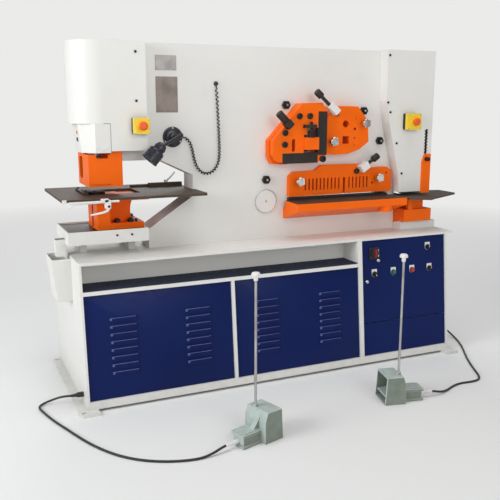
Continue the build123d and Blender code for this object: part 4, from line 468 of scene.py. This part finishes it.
def make_stage():
    bpy.ops.mesh.primitive_circle_add(vertices=96, radius=GROUND_REACH, fill_type="NGON")
    ground = bpy.context.object
    ground.name = "ground"
    graph = Graph("ground", (0.8, 0.8, 0.79), 0.85)
    graph.relief(graph.noise(90, 3), 0.05, 0.001)
    far = graph.add("ShaderNodeVectorMath", operation="LENGTH")
    graph.link(graph.place, far.inputs[0])
    share = graph.span(far.outputs["Value"], FADE_FROM, FADE_TO)
    glow = graph.add("ShaderNodeEmission")
    glow.inputs["Color"].default_value = (*BACKDROP, 1)
    fade = graph.add("ShaderNodeMixShader")
    graph.link(share, fade.inputs["Fac"])
    graph.link(graph.shader.outputs["BSDF"], fade.inputs[1])
    graph.link(glow.outputs["Emission"], fade.inputs[2])
    graph.link(fade.outputs["Shader"], graph.tree.nodes["Material Output"].inputs["Surface"])
    ground.data.materials.append(graph.material)

    world = bpy.context.scene.world or bpy.data.worlds.new("world")
    bpy.context.scene.world = world
    world.use_nodes = True
    tree = world.node_tree
    tree.nodes.clear()
    output = tree.nodes.new("ShaderNodeOutputWorld")
    path = tree.nodes.new("ShaderNodeLightPath")
    seen = tree.nodes.new("ShaderNodeBackground")
    seen.inputs["Color"].default_value = (*BACKDROP, 1)
    fill = tree.nodes.new("ShaderNodeBackground")
    fill.inputs["Color"].default_value = (0.96, 0.98, 1.0, 1)
    fill.inputs["Strength"].default_value = FILL_POWER
    blend = tree.nodes.new("ShaderNodeMixShader")
    tree.links.new(path.outputs["Is Camera Ray"], blend.inputs["Fac"])
    tree.links.new(fill.outputs["Background"], blend.inputs[1])
    tree.links.new(seen.outputs["Background"], blend.inputs[2])
    tree.links.new(blend.outputs["Shader"], output.inputs["Surface"])


def softbox(name, place, target, size, power, colour=(1, 1, 1)):
    """A lit rectangle at a place, turned to a target, in metres and watts."""
    lamp = bpy.data.lights.new(name, "AREA")
    lamp.shape = "RECTANGLE"
    lamp.size, lamp.size_y = size
    lamp.energy = power
    lamp.color = colour
    box = bpy.data.objects.new(name, lamp)
    bpy.context.scene.collection.objects.link(box)
    box.location = place
    box.rotation_euler = (Vector(target) - Vector(place)).to_track_quat("-Z", "Y").to_euler()


make_stage()
softbox("key", (-4.8, -1.3, 2.3), (-0.3, 0, 0.8), (2.2, 2.2), 136, (0.96, 0.985, 1))
softbox("front", (0.2, -4.8, 2.4), (0.1, 0, 0.8), (2.6, 2.2), 60, (1, 0.99, 0.97))
softbox("top", (0.3, -0.6, 4.6), (0, 0, 0.8), (3.2, 2.4), 60)
softbox("behind", (1.0, 4.2, 3.2), (0, 0, 0.8), (3.2, 2.4), 70)

# ---- cords ----
GLAND_LEFT = (33, FLOOR + 54)
GLAND_RIGHT = (250, FLOOR + 96)
GLAND_LONG = 22
# thickness of the pedals' cords in metres, and the height of their middles where they lie
FLOOR_CORD = 0.010
FLOOR_RUN = FLOOR + 5
# how far back the lamp's lead hangs
COIL_BACK = 212

LEFT_ROUTE = [
    (-GLAND_LONG, *GLAND_LEFT),
    (-50, *GLAND_LEFT),
    (-83, 52, -607),
    (-110, 82, -622),
    (-139, 108, -641),
    (-165, 110, -649),
    (-185, 92, FLOOR_RUN),
    (-189, 64, FLOOR_RUN),
    (-180, 20, FLOOR_RUN),
    (-163, -48, FLOOR_RUN),
    (-144, -110, FLOOR_RUN),
    (-117, -186, FLOOR_RUN),
    (-91, -262, FLOOR_RUN),
    (-57, -352, FLOOR_RUN),
    (-18, -432, FLOOR_RUN),
    (33, -510, FLOOR_RUN),
    (101, -576, FLOOR_RUN),
    (180, -621, FLOOR_RUN),
    (258, -645, FLOOR_RUN),
    (316, -650, FLOOR_RUN),
    (366, -642, -643),
    (412.1, -629.5, -631),
    (450.3, -617.8, -631),
]
RIGHT_ROUTE = [
    (END_SPAN + GLAND_LONG, *GLAND_RIGHT),
    (2022, *GLAND_RIGHT),
    (2070, 243, -571),
    (2112, 218, -595),
    (2137, 174, -622),
    (2143, 116, -644),
    (2124, 52, FLOOR_RUN),
    (2087, -22, FLOOR_RUN),
    (2041, -98, FLOOR_RUN),
    (1992, -172, FLOOR_RUN),
    (1943, -256, FLOOR_RUN),
    (1894, -350, FLOOR_RUN),
    (1862, -418, FLOOR_RUN),
    (1828, -462, FLOOR_RUN),
    (1777, -472, FLOOR_RUN),
    (1706, -462, FLOOR_RUN),
    (1644, -480, FLOOR_RUN),
    (1592, -507, FLOOR_RUN),
    (1540, -526, -643),
    (1494.7, -522.6, -631),
    (1455.7, -513.6, -631),
]
COIL_ROUTE = [
    (722, COIL_BACK, 754),
    (726, COIL_BACK, 690),
    (731, COIL_BACK, 590),
    (735, COIL_BACK, 490),
    (736, COIL_BACK, 424),
    (725, COIL_BACK, 380),
    (700, COIL_BACK, 349),
    (666, COIL_BACK, 339),
    (634, COIL_BACK, 353),
    (614, COIL_BACK, 385),
    (604, COIL_BACK, 422),
    (597, COIL_BACK, 460),
    (586, COIL_BACK, 494),
    (566, COIL_BACK, 513),
    (550, COIL_BACK, 519),
]


def smooth_curve(name, points, thickness=0.0):
    """A NURBS curve with these control points, in metres."""
    data = bpy.data.curves.new(name, "CURVE")
    data.dimensions = "3D"
    data.resolution_u = 12
    spline = data.splines.new("NURBS")
    spline.points.add(len(points) - 1)
    for point, place in zip(spline.points, points):
        point.co = (*place, 1)
    spline.order_u = 3
    spline.use_endpoint_u = True
    data.bevel_depth = thickness / 2
    data.bevel_resolution = 4
    data.use_fill_caps = True
    piece = bpy.data.objects.new(name, data)
    bpy.context.scene.collection.objects.link(piece)
    return piece


def centreline(points):
    """Close points along the smooth route of these control points."""
    route = smooth_curve("route", points)
    mesh = bpy.data.meshes.new_from_object(route)
    line = [vertex.co.copy() for vertex in mesh.vertices]
    bpy.data.objects.remove(route)
    return line


def line_length(line):
    """The length along these points."""
    return sum((after - before).length for before, after in zip(line, line[1:]))


def free_cord(name, route, thickness, node):
    """A rubber cord along a route of shop places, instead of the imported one."""
    points = [at(*place) for place in route]
    piece = smooth_curve(name, points, thickness)
    piece.data.materials.append(black_rubber)
    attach(piece, "machine")
    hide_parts(node)
    line_length(centreline(points))


free_cord("cord_left", LEFT_ROUTE, FLOOR_CORD, "floor_cord_left")
free_cord("cord_right", RIGHT_ROUTE, FLOOR_CORD, "floor_cord_right")

# the coiled lead, in metres: its turns draw in over CURL_ENDS and close up over CURL_SLACK
CURL_ROUND = 0.0156
CURL_WIRE = 0.0052
CURL_POINTS = 12
CURL_PITCH_TOP = 0.021
CURL_PITCH_LOW = 0.015
CURL_ENDS = 0.02
CURL_SLACK = 0.28


def curly_cord():
    """The lamp's coiled lead: a helix whose turns open where its own weight stretches it."""
    line = centreline([at(*place) for place in COIL_ROUTE])
    total = line_length(line)
    radius = (CURL_ROUND - CURL_WIRE) / 2
    walked = [0.0]
    for before, after in zip(line, line[1:]):
        walked.append(walked[-1] + (after - before).length)
    points, index, turn, run = [], 0, 0.0, 0.0
    plane = Vector((0, 1, 0))
    while run < total:
        while index < len(walked) - 2 and walked[index + 1] < run:
            index += 1
        share = (run - walked[index]) / max(walked[index + 1] - walked[index], 1e-9)
        centre = line[index].lerp(line[index + 1], share)
        ahead = (line[index + 1] - line[index]).normalized()
        out = plane.cross(ahead).normalized()
        drawn = min(1.0, run / CURL_ENDS, (total - run) / CURL_ENDS)
        points.append(centre + radius * drawn * (math.cos(turn) * out + math.sin(turn) * plane))
        slack = min(1.0, run / CURL_SLACK)
        pitch = CURL_PITCH_TOP + (CURL_PITCH_LOW - CURL_PITCH_TOP) * slack
        turn += 2 * math.pi / CURL_POINTS
        run += pitch / CURL_POINTS
    points[0] = line[0]
    points[-1] = line[-1]
    piece = smooth_curve("lamp_cord", points, CURL_WIRE)
    piece.data.resolution_u = 2
    piece.data.bevel_resolution = 2
    piece.data.materials.append(coil_rubber)
    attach(piece, "machine")
    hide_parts("lamp_coil")
    line_length(centreline(points))


curly_cord()


# ---- fine pieces ----
def seat(place, out, across=(1, 0, 0)):
    """A frame at a shop place: third axis out, first axis across."""
    out = Vector(out).normalized()
    across = Vector(across)
    across = (across - across.dot(out) * out).normalized()
    placed = Matrix((across, out.cross(across), out)).transposed().to_4x4()
    placed.translation = Vector(place)
    return placed


def front(along, up, back):
    """A place on a face that looks to the front."""
    return seat((along, back, up), (0, -1, 0))


def level(along, back, up):
    """A place on a face that looks up."""
    return seat((along, back, up), (0, 0, 1))


def leaning(along, slope, proud=0.0):
    """A place on the doors and the control panel, at a distance up their slope."""
    depth = PANEL_SET_BACK - proud
    place = (along, (FRONT_LEAN * slope + depth) / SLOPE, (slope - FRONT_LEAN * depth) / SLOPE)
    return seat(place, (0, -1, FRONT_LEAN))


def rounded(wide, tall, radius, steps=5):
    """Outline of a rectangle with round corners."""
    points = []
    for corner, (side, end) in enumerate(((1, 1), (-1, 1), (-1, -1), (1, -1))):
        for step in range(steps + 1):
            turn = math.pi / 2 * (corner + step / steps)
            points.append((
                side * (wide / 2 - radius) + radius * math.cos(turn),
                end * (tall / 2 - radius) + radius * math.sin(turn),
            ))
    return points


# a pressed louvre: half its length and how much of that is straight, its top edge and height
HOOD_HALF, HOOD_STRAIGHT = 63.5, 50
HOOD_TOP, HOOD_TALL = 8, 22.5
# how far it swells and falls back again, how fast it bends out, and from which share of its height
# it falls
HOOD_PROUD, HOOD_FALL = 9, 4.5
HOOD_BEND, HOOD_BENT = 4.5, 0.22
HOOD_SHEET = 1.5


class Fitting:
    """A mesh built up from turned, flat and bent forms, in shop millimetres."""

    def __init__(self, name):
        self.name = name
        self.mesh = bmesh.new()

    def ring(self, placed, points, height):
        """New corners at a height over the seat."""
        return [self.mesh.verts.new(placed @ Vector((*point, height))) for point in points]

    def skin(self, low, high):
        """Faces between two rings, either of which may be a single point."""
        for step in range(max(len(low), len(high))):
            corners = (
                low[step % len(low)],
                low[(step + 1) % len(low)],
                high[(step + 1) % len(high)],
                high[step % len(high)],
            )
            corners = list(dict.fromkeys(corners))
            if len(corners) > 2:
                self.mesh.faces.new(corners)

    def turned(self, placed, profile, sides=32, lobes=0, depth=0.0):
        """A form round the seat's third axis through points of radius and height, ribbed by lobes."""
        rings = []
        for radius, height in profile:
            turns = [2 * math.pi * step / sides for step in range(sides)] if radius else [0.0]
            reach = [radius * (1 + depth * math.cos(lobes * turn)) for turn in turns]
            points = [(r * math.cos(turn), r * math.sin(turn)) for r, turn in zip(reach, turns)]
            rings.append(self.ring(placed, points, height))
        for low, high in zip(rings, rings[1:]):
            self.skin(low, high)

    def flat(self, placed, outline, low, high, round=0.0):
        """A plate with this outline between two heights over the seat."""
        under = self.ring(placed, outline, low)
        over = self.ring(placed, outline, high)
        self.skin(under, over)
        self.mesh.faces.new(under[::-1])
        top = self.mesh.faces.new(over)
        if round:
            bmesh.ops.bevel(
                self.mesh,
                geom=list(top.edges),
                offset=round,
                segments=2,
                profile=0.6,
                affect="EDGES",
            )

    def collar(self, placed, hole, outline, low, high):
        """A plate round a hole, whose outline runs round it once and wholly outside it."""
        turns = [math.atan2(up, across) for across, up in outline]
        inner = [(hole * math.cos(turn), hole * math.sin(turn)) for turn in turns]
        rings = [
            self.ring(placed, outline, low),
            self.ring(placed, outline, high),
            self.ring(placed, inner, high),
            self.ring(placed, inner, low),
        ]
        for first, after in zip(rings, rings[1:] + rings[:1]):
            self.skin(first, after)

    def bar(self, line, radii, sides=16):
        """A round bar with domed ends along these shop points."""
        points = [Vector(point) for point in line]
        last = len(points) - 1
        turns = [2 * math.pi * step / sides for step in range(sides)]
        ends = {0: ((-0.55, 0.0), (-0.35, 0.7), (0, 1)), last: ((0, 1), (0.35, 0.7), (0.55, 0.0))}
        rings, across = [], None
        for index, point in enumerate(points):
            ahead = (points[min(index + 1, last)] - points[max(index - 1, 0)]).normalized()
            across = ahead.orthogonal() if across is None else across
            across = (across - across.dot(ahead) * ahead).normalized()
            other = ahead.cross(across)
            radius = radii[0] + (radii[1] - radii[0]) * index / last
            for lift, part in ends.get(index, ((0, 1),)):
                centre = point + ahead * lift * radius
                if not part:
                    rings.append([self.mesh.verts.new(centre)])
                    continue
                reach = part * radius
                spokes = [math.cos(turn) * across + math.sin(turn) * other for turn in turns]
                rings.append([self.mesh.verts.new(centre + reach * spoke) for spoke in spokes])
        for low, high in zip(rings, rings[1:]):
            self.skin(low, high)

    def hood(self, placed, lengthwise=26, downwards=12):
        """A pressed louvre: a shell that swells from its upper edge to an open mouth below.

        Faces along its upper bend and left end take the second material, a painted highlight.
        """
        edges = []
        for inset in (0.0, HOOD_SHEET):
            grid = []
            for down in range(downwards + 1):
                share = down / downwards
                swell = HOOD_PROUD * math.sin(min(1, share * HOOD_BEND) * math.pi / 2)
                fall = HOOD_FALL * (max(0, share - HOOD_BENT) / (1 - HOOD_BENT)) ** 1.5
                row = []
                for step in range(lengthwise + 1):
                    across = HOOD_HALF * math.sin(math.pi * (step / lengthwise - 0.5))
                    end = max(0, (abs(across) - HOOD_STRAIGHT) / (HOOD_HALF - HOOD_STRAIGHT))
                    proud = (swell - fall) * math.sqrt(max(0, 1 - end * end)) - inset
                    place = Vector((across, HOOD_TOP - HOOD_TALL * share, proud))
                    row.append(self.mesh.verts.new(placed @ place))
                grid.append(row)
            for down, (upper, lower) in enumerate(zip(grid, grid[1:])):
                for step in range(lengthwise):
                    corners = (upper[step], upper[step + 1], lower[step + 1], lower[step])
                    face = self.mesh.faces.new(corners)
                    # faces along the upper bend and the left end take the painted highlight
                    upper_bend = down == 1 and 2 < step < 22
                    left_end = 1 < down < 7 and 2 <= step <= 4
                    face.material_index = int(not inset and (upper_bend or left_end))
            right = [row[-1] for row in grid]
            left = [row[0] for row in grid[::-1]]
            edges.append(grid[0] + right[1:] + grid[-1][::-1][1:] + left[1:-1])
        self.skin(*edges)

    def done(self, finish, body="machine", sharp=35):
        """Makes the mesh a piece that rides on a body."""
        self.mesh.transform(Matrix.Scale(MM, 4) @ Matrix.Translation(CORNER))
        bmesh.ops.recalc_face_normals(self.mesh, faces=self.mesh.faces)
        data = bpy.data.meshes.new(self.name)
        self.mesh.to_mesh(data)
        self.mesh.free()
        data.shade_smooth()
        data.set_sharp_from_angle(angle=math.radians(sharp))
        data.materials.append(finish)
        piece = bpy.data.objects.new(self.name, data)
        bpy.context.scene.collection.objects.link(piece)
        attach(piece, body)
        return piece


def curve(*places, steps=14):
    """Points along a bend from the first of four places to the last."""
    return interpolate_bezier(*(Vector(place) for place in places), steps)


# doors with their pressed louvres, and black sheets of painted shade in the mouths under these and
# behind the notching guard
DOOR_MIDDLE, DOOR_TALL, DOOR_THICK = -377.85, 467.3, 3
LOUVRE_ROWS, LOUVRE_FIRST, LOUVRE_PITCH = 8, -257, 34.5
# name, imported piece, middle along, width and the columns of louvres
DOORS = (
    ("louvred_door_left", "door_left", 355, 687, (181, 531)),
    ("louvred_door_middle", "door_middle", 1058.5, 682, (885, 1231)),
)
mouth_shade = Fitting("louvre_mouth_shade")
for name, node, middle, wide, columns in DOORS:
    sheet = Fitting(name)
    sheet.flat(leaning(middle, DOOR_MIDDLE), rounded(wide, DOOR_TALL, 2), -DOOR_THICK, 0, 0.8)
    sheet.done(navy_paint)
    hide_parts(node)
    hoods = Fitting(name.replace("louvred_door", "louvres"))
    for column in columns:
        for row in range(LOUVRE_ROWS):
            placed = leaning(column, LOUVRE_FIRST - LOUVRE_PITCH * row)
            hoods.hood(placed)
            # a black sheet inside each louvre's mouth: painted shade
            mouth_shade.flat(placed @ Matrix.Translation((0, -8.5, 0)), rounded(112, 11, 5), -0.2, 0.4)
    hoods.done(navy_paint, sharp=50).data.materials.append(louvre_painted_highlight)
# a black sheet behind the notching guard: painted shade
mouth_shade.flat(front(1914, 450, 176), rounded(70, 230, 4), 0, 2, 0.4)
mouth_shade.done(black_rubber)

# legend plates, each a shield round its button
CONTROL_LEFT, CONTROL_WIDE = 1425.5, 521.0
SHIELD_HALF = 15.5
SHIELD_TURNS = [math.pi * (1 + step / 20) for step in range(21)]
SHIELD = [(SHIELD_HALF * math.cos(turn), SHIELD_HALF * math.sin(turn)) for turn in SHIELD_TURNS]
SHIELD += [(SHIELD_HALF, 14), (SHIELD_HALF, 25), (SHIELD_HALF - 1, 26), (6, 26)]
SHIELD += [(-across, up) for across, up in SHIELD[:-5:-1]]


def control(share, slope, proud=0.0):
    """A place on the control panel, at a share of its width."""
    return leaning(CONTROL_LEFT + share * CONTROL_WIDE, slope, proud)


# places as shares of the panel's width and distances up its slope
START_STOP = ((0.368, -189), (0.594, -188))
# body, place and tilt of the mark
SELECTORS = (
    ("selector_upper", (0.79, -74), 60),
    ("selector_first", (0.143, -189), -60),
    ("selector_second", (0.809, -189), 60),
)
legends = Fitting("legend_plates")
for place in (*START_STOP, *(selector[1] for selector in SELECTORS)):
    legends.collar(control(*place), 14.7, SHIELD, 0, 1.2)
legends.done(white_plastic)
for body, place, tilt in SELECTORS:
    mark = Fitting(f"mark_{body}")
    turned = control(*place, 18) @ Matrix.Rotation(math.radians(tilt), 4, "Z")
    mark.flat(turned @ Matrix.Translation((5.2, 0, 0)), rounded(11, 2.6, 1), -0.3, 0.5, 0.2)
    mark.done(white_plastic, body)

# lock barrels with their keys, and the bright edge of the main switch's plate
BARREL = ((8.8, 0), (8.8, 5.5), (8, 6.6), (6.4, 7), (6, 9.5), (5, 10.4), (0, 10.6))
locks = Fitting("lock_barrels")
for place, turn in (((0.189, -119), -35), ((0.055, -224), 20)):
    barrel = control(*place)
    locks.turned(barrel, BARREL)
    key = barrel @ Matrix.Rotation(math.radians(turn), 4, "Z")
    locks.flat(key, rounded(3, 12, 1), 10, 13, 0.3)
switch_edge = control(0.141, -80, 6) @ Matrix.Translation((25, 0, 0))
locks.flat(switch_edge, rounded(4, 38, 1), -0.2, 1.6, 0.3)
locks.done(chrome)

# blank data plates with their rivets
for name, finish, middle, size in (
    ("data_plate_upper", plate_light, (477.5, 855.5), (101, 67)),
    ("data_plate_lower", plate_dark, (479.5, 713), (105, 162)),
):
    plate = Fitting(name)
    wide, tall = size
    placed = front(*middle, FRAME_FRONT)
    plate.flat(placed, rounded(wide, tall, 2), -0.2, 1, 0.3)
    plate.collar(placed, min(size) / 2 - 12, rounded(wide - 8, tall - 8, 3, 12), 0.8, 1.2)
    for side in (-1, 1):
        for end in (-1, 1):
            rivet = placed @ Matrix.Translation((side * (wide / 2 - 5), end * (tall / 2 - 5), 0.8))
            plate.turned(rivet, ((2, 0), (1.7, 0.9), (0.9, 1.4), (0, 1.5)), 16)
    plate.done(finish)

# screws, stud centres, pivot cap's rim, seam round the nose and the light on the tower's side
SCREW = ((5, 0), (5, 1.6), (4, 2.6), (2.2, 2.8), (2.0, 1.2), (0, 1.2))
CAP_SCREW = ((16.5, 0), (16.5, 12), (15, 13.6), (9, 14), (8.6, 8), (0, 8))
PLATE_SCREW = ((14.8, 0), (14.8, 0.6), (13.4, 1.3), (8, 1.4), (7.6, 0), (0, 0))
SIDE_OUT = (-1, 0, -0.1)
screws = Fitting("small_screws")
for along, up, back in ((202, 90, 126), (270, 89, 126), (1603, 260, 195), (1692, 311, 195)):
    screws.turned(front(along, up, back), SCREW, 20)
screws.turned(front(1264, 400, 141), CAP_SCREW, 36)
screws.turned(seat((70.9, 259, 515), SIDE_OUT, (0, 1, 0)), ((9, 0), (9, 3), (7.5, 4.4), (0, 5)), 24)
for along, up in ((1131, 612), (1189, 612), (1053, 532), (1051, 475)):
    screws.turned(front(along, up, 133), PLATE_SCREW, 36)
screws.done(dark_steel)
studs = Fitting("stud_centres")
for along, up in ((1094, 666), (986, 299), (1655, 479), (1550, 636)):
    studs.turned(front(along, up, 197), ((5.2, -0.3), (5.2, 0.4), (4, 1.5), (2, 2.1), (0, 2.3)), 24)
studs.done(bright_steel)
rim = Fitting("pivot_cap_rim")
pin = front(*PIVOT, 213)
rim.turned(pin, ((59.5, -0.3), (59.5, 0.6), (58, 1), (56.5, 0.6), (56.5, -0.3)), 72)
rim.turned(pin, ((6, -0.3), (6, 0.8), (5, 1.3), (0, 1.5)), 24)
rim.done(bright_steel)
seam = Fitting("nose_seam")
seam.flat(front(181, 585.8, COVER_FRONT), rounded(30, 1.6, 0.3), -0.1, 0.25)
seam.flat(front(196.8, 521, COVER_FRONT), rounded(1.6, 130, 0.3), -0.1, 0.25)
seam.done(black_rubber)
light = Fitting("side_light")
placed = seat((68.1, 251, 546), SIDE_OUT, (0, 1, 0))
light.turned(placed, ((8, 0), (8, 2.4), (6.5, 3.6), (0, 4.2)), 24)
light.done(orange_paint)

# lid screws of the emergency stops, from the boxes' middles and widths
lids = Fitting("switch_lid_screws")
for along, up, wide in ((328, 575, 72), (1800, 580, 84)):
    spread = wide / 2 - 7
    for side in (-1, 1):
        for end in (-1, 1):
            placed = front(along + side * spread, up + end * spread, 108)
            lids.turned(placed, ((3.6, 0), (3.6, 0.8), (3, 1.4), (0, 1.5)), 16)
lids.done(bright_steel)

# gauge rod, its clamp and handle on the front edge of the punch table, and the handle of the fence
rod = Fitting("gauge_rod")
rod.bar(((-14, 43, 250), (8, 43, 251), (196, 43, 256)), (4.2, 4.2))
rod.bar(curve((2, 41, 248), (-8, 41, 246), (-14, 40, 240), (-22, 40, 237)), (4, 3))
rod.flat(front(-38, 262, 50), rounded(18, 17, 3), 0, 10, 1.5)
rod.flat(front(132, 262, 44), rounded(34, 15, 3), 0, 8, 1.5)
rod.done(white_plastic)
lever = Fitting("gauge_handle")
lever.turned(front(146, 236, 36), ((10.5, 0), (10.5, 11), (9.5, 12.6), (6, 13.2), (0, 13.4)))
lever.bar(curve((146, 29, 236), (148, 27, 212), (128, 27, 212), (69, 29, 203)), (6.8, 3.6))
lever.done(white_plastic, "gauge_lever")
hub = Fitting("gauge_hub")
hub.turned(front(146, 237, 22.4), ((5.5, 0), (5.5, 2), (4.4, 3), (0, 3.2)), 24)
hub.done(dark_steel, "gauge_lever")
handle = Fitting("fence_handle")
handle.turned(level(520, 396, 290.4), ((9.5, 0), (9.5, 10), (8.4, 12.5), (0, 14)))
handle.bar(curve((520, 396, 299), (530, 401, 300), (548, 409, 310), (574, 421, 336)), (5.4, 3.4))
handle.done(white_plastic, "fence_handle")
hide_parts("table_lever")
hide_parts("fence_lever")

# stop block beside the die, lying on the table, by its places along and back
STOP_OUTLINE = (
    (70, 188), (92, 182), (94, 240), (88, 246), (88, 326), (94, 332), (94, 398), (74, 398),
)
STOP_SCREW = ((6.5, 0), (6.5, 5), (5.4, 6), (3, 6.2), (2.8, 3), (0, 3))
stop = Fitting("die_stop")
stop.flat(level(0, 0, 270), STOP_OUTLINE, -0.2, 11, 1.2)
for along, back in ((82, 205), (82, 376)):
    stop.turned(level(along, back, 280.8), STOP_SCREW, 24)
stop.done(blade_steel)

# strain reliefs: a collar and then a ribbed taper round each cord where it leaves a housing
COLLAR = ((11, 0), (11.5, 2), (11.5, 6))
TAPER = (
    (9.5, 7), (9.3, 10), (8, 11), (8.6, 13), (7.4, 15), (8.1, 18), (6.9, 20), (7.5, 23),
    (6.4, 25), (6.9, 28), (5.9, 30), (6.2, 33), (5.3, 35.5), (4.9, 35.5),
)
PEDAL_COLLAR = ((0, -3), (8.6, -3), (8.6, 5), (9.5, 6))
reliefs = Fitting("strain_reliefs")
for out, place in (
    (-1, (1 - GLAND_LONG, *GLAND_LEFT)),
    (1, (END_SPAN + GLAND_LONG - 1, *GLAND_RIGHT)),
):
    reliefs.turned(seat(place, (out, 0, 0), (0, 1, 0)), COLLAR + TAPER)
reliefs.done(black_rubber)
pedal_reliefs = Fitting("pedal_reliefs")
for *_, before, last in (LEFT_ROUTE, RIGHT_ROUTE):
    placed = seat(last, Vector(before) - Vector(last), (0, 0, 1))
    pedal_reliefs.turned(placed, PEDAL_COLLAR + TAPER)
pedal_reliefs.done(white_plastic)

# lamp: ribbed round foot with a swivel, a tapered stalk and a stepped head
LAMP_FOOT = (503, 519)
FOOT_SCREWS_REACH = 41.6
DISC = (
    (47.8, 0), (47.8, 4.5), (46.6, 6.4), (43.4, 7), (42.6, 5.4), (40.6, 5.4), (39.6, 8),
    (36, 10.6), (30, 12.4), (24, 13.4), (0, 13.8),
)
GROMMET = ((11, 0), (11, 4), (9, 7), (7, 13), (3.2, 13.4), (3.2, 6), (0, 6))
foot = Fitting("lamp_foot")
foot.turned(front(*LAMP_FOOT, FRAME_FRONT), DISC, 48)
foot.turned(front(723, 765, FRAME_FRONT), GROMMET)
foot.bar(curve((552, 213, 519), (544, 211, 520), (536, 210, 522), (528, 209, 524)), (3.2, 5.4))
foot.done(lamp_plastic)
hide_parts("lamp_base")
foot_screws = Fitting("lamp_foot_screws")
for turn in (90, 210, 330):
    along = LAMP_FOOT[0] + FOOT_SCREWS_REACH * math.cos(math.radians(turn))
    up = LAMP_FOOT[1] + FOOT_SCREWS_REACH * math.sin(math.radians(turn))
    foot_screws.turned(front(along, up, 215), ((4.4, 0), (4.2, 1.4), (2.6, 2.6), (0, 2.9)), 20)
foot_screws.done(chrome)
SWIVEL = ((0, 0), (11, 1), (12.4, 4), (12.4, 18), (11, 21), (0, 22))
AIM = Vector((-62, 2, -66)).normalized()
NECK = Vector((412, 107, 482))
HEAD = (
    (0, 0), (12, 0), (17, 2), (21, 6), (24, 11), (24.5, 17), (26.5, 18), (27.5, 22), (27.5, 31),
    (25.5, 33), (25.5, 36), (31, 38), (35, 42), (37.2, 47), (37.6, 54), (36.6, 55), (36.6, 58),
    (37.8, 59), (37.8, 66), (36.8, 67), (36.8, 70), (37.8, 71), (38, 92), (40, 93.5), (40.4, 97),
    (39, 99.5), (36.5, 99.5), (35.5, 96), (35, 88),
)
head_seat = seat(NECK - 16 * AIM, AIM)
lamp = Fitting("lamp_head")
lamp.turned(front(*LAMP_FOOT, 206.5), ((22, 0), (22, 9), (20, 12), (17, 13.4), (0, 14)), 40)
lamp.bar(curve((503, 200, 520), (514, 196, 524), (522, 192, 527), (531, 188, 528)), (13, 10))
lamp.turned(front(531, 528, 200), SWIVEL, 28)
lamp.bar(((531, 183, 528), (500, 164, 516), (458, 136, 499), (412, 107, 481)), (9.5, 8.2))
lamp.turned(head_seat, HEAD, 56)
lamp.done(lamp_plastic, "lamp")
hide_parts("lamp_arm")
lens = Fitting("lamp_lens")
lens.turned(head_seat, ((35.6, 88), (30, 91.5), (18, 94), (0, 95)), 48)
lens.done(glass_white, "lamp")

# knurled grips of the clamp screws and of the knob on the angle shear, from low to high on their axes
for name, body, place, aim, radius, low, high in (
    ("grip_bar_clamp", "bar_clamp_screw", (1299, 140.5, 667), (-71, 0, 62), 17, 62, 99),
    ("grip_flat_clamp", "flat_clamp_screw", (1557, 174.5, 362), (73, 0, 48), 17, 40, 77),
    ("grip_knob", "knurled_knob", (1045, 119, 590), (-1, 0, 1), 18, 0, 54),
):
    grip = Fitting(name)
    profile = (
        (radius - 3, low + 0.4),
        (radius + 0.1, low + 0.4),
        (radius + 0.4, low + 2),
        (radius + 0.4, high - 3),
        (radius - 1.4, high + 0.3),
        (radius - 7, high + 0.5),
        (0, high + 0.3),
    )
    grip.turned(seat(place, aim, (0, 1, 0)), profile, sides=120, lobes=30, depth=0.018)
    grip.done(blade_steel, body, sharp=60)
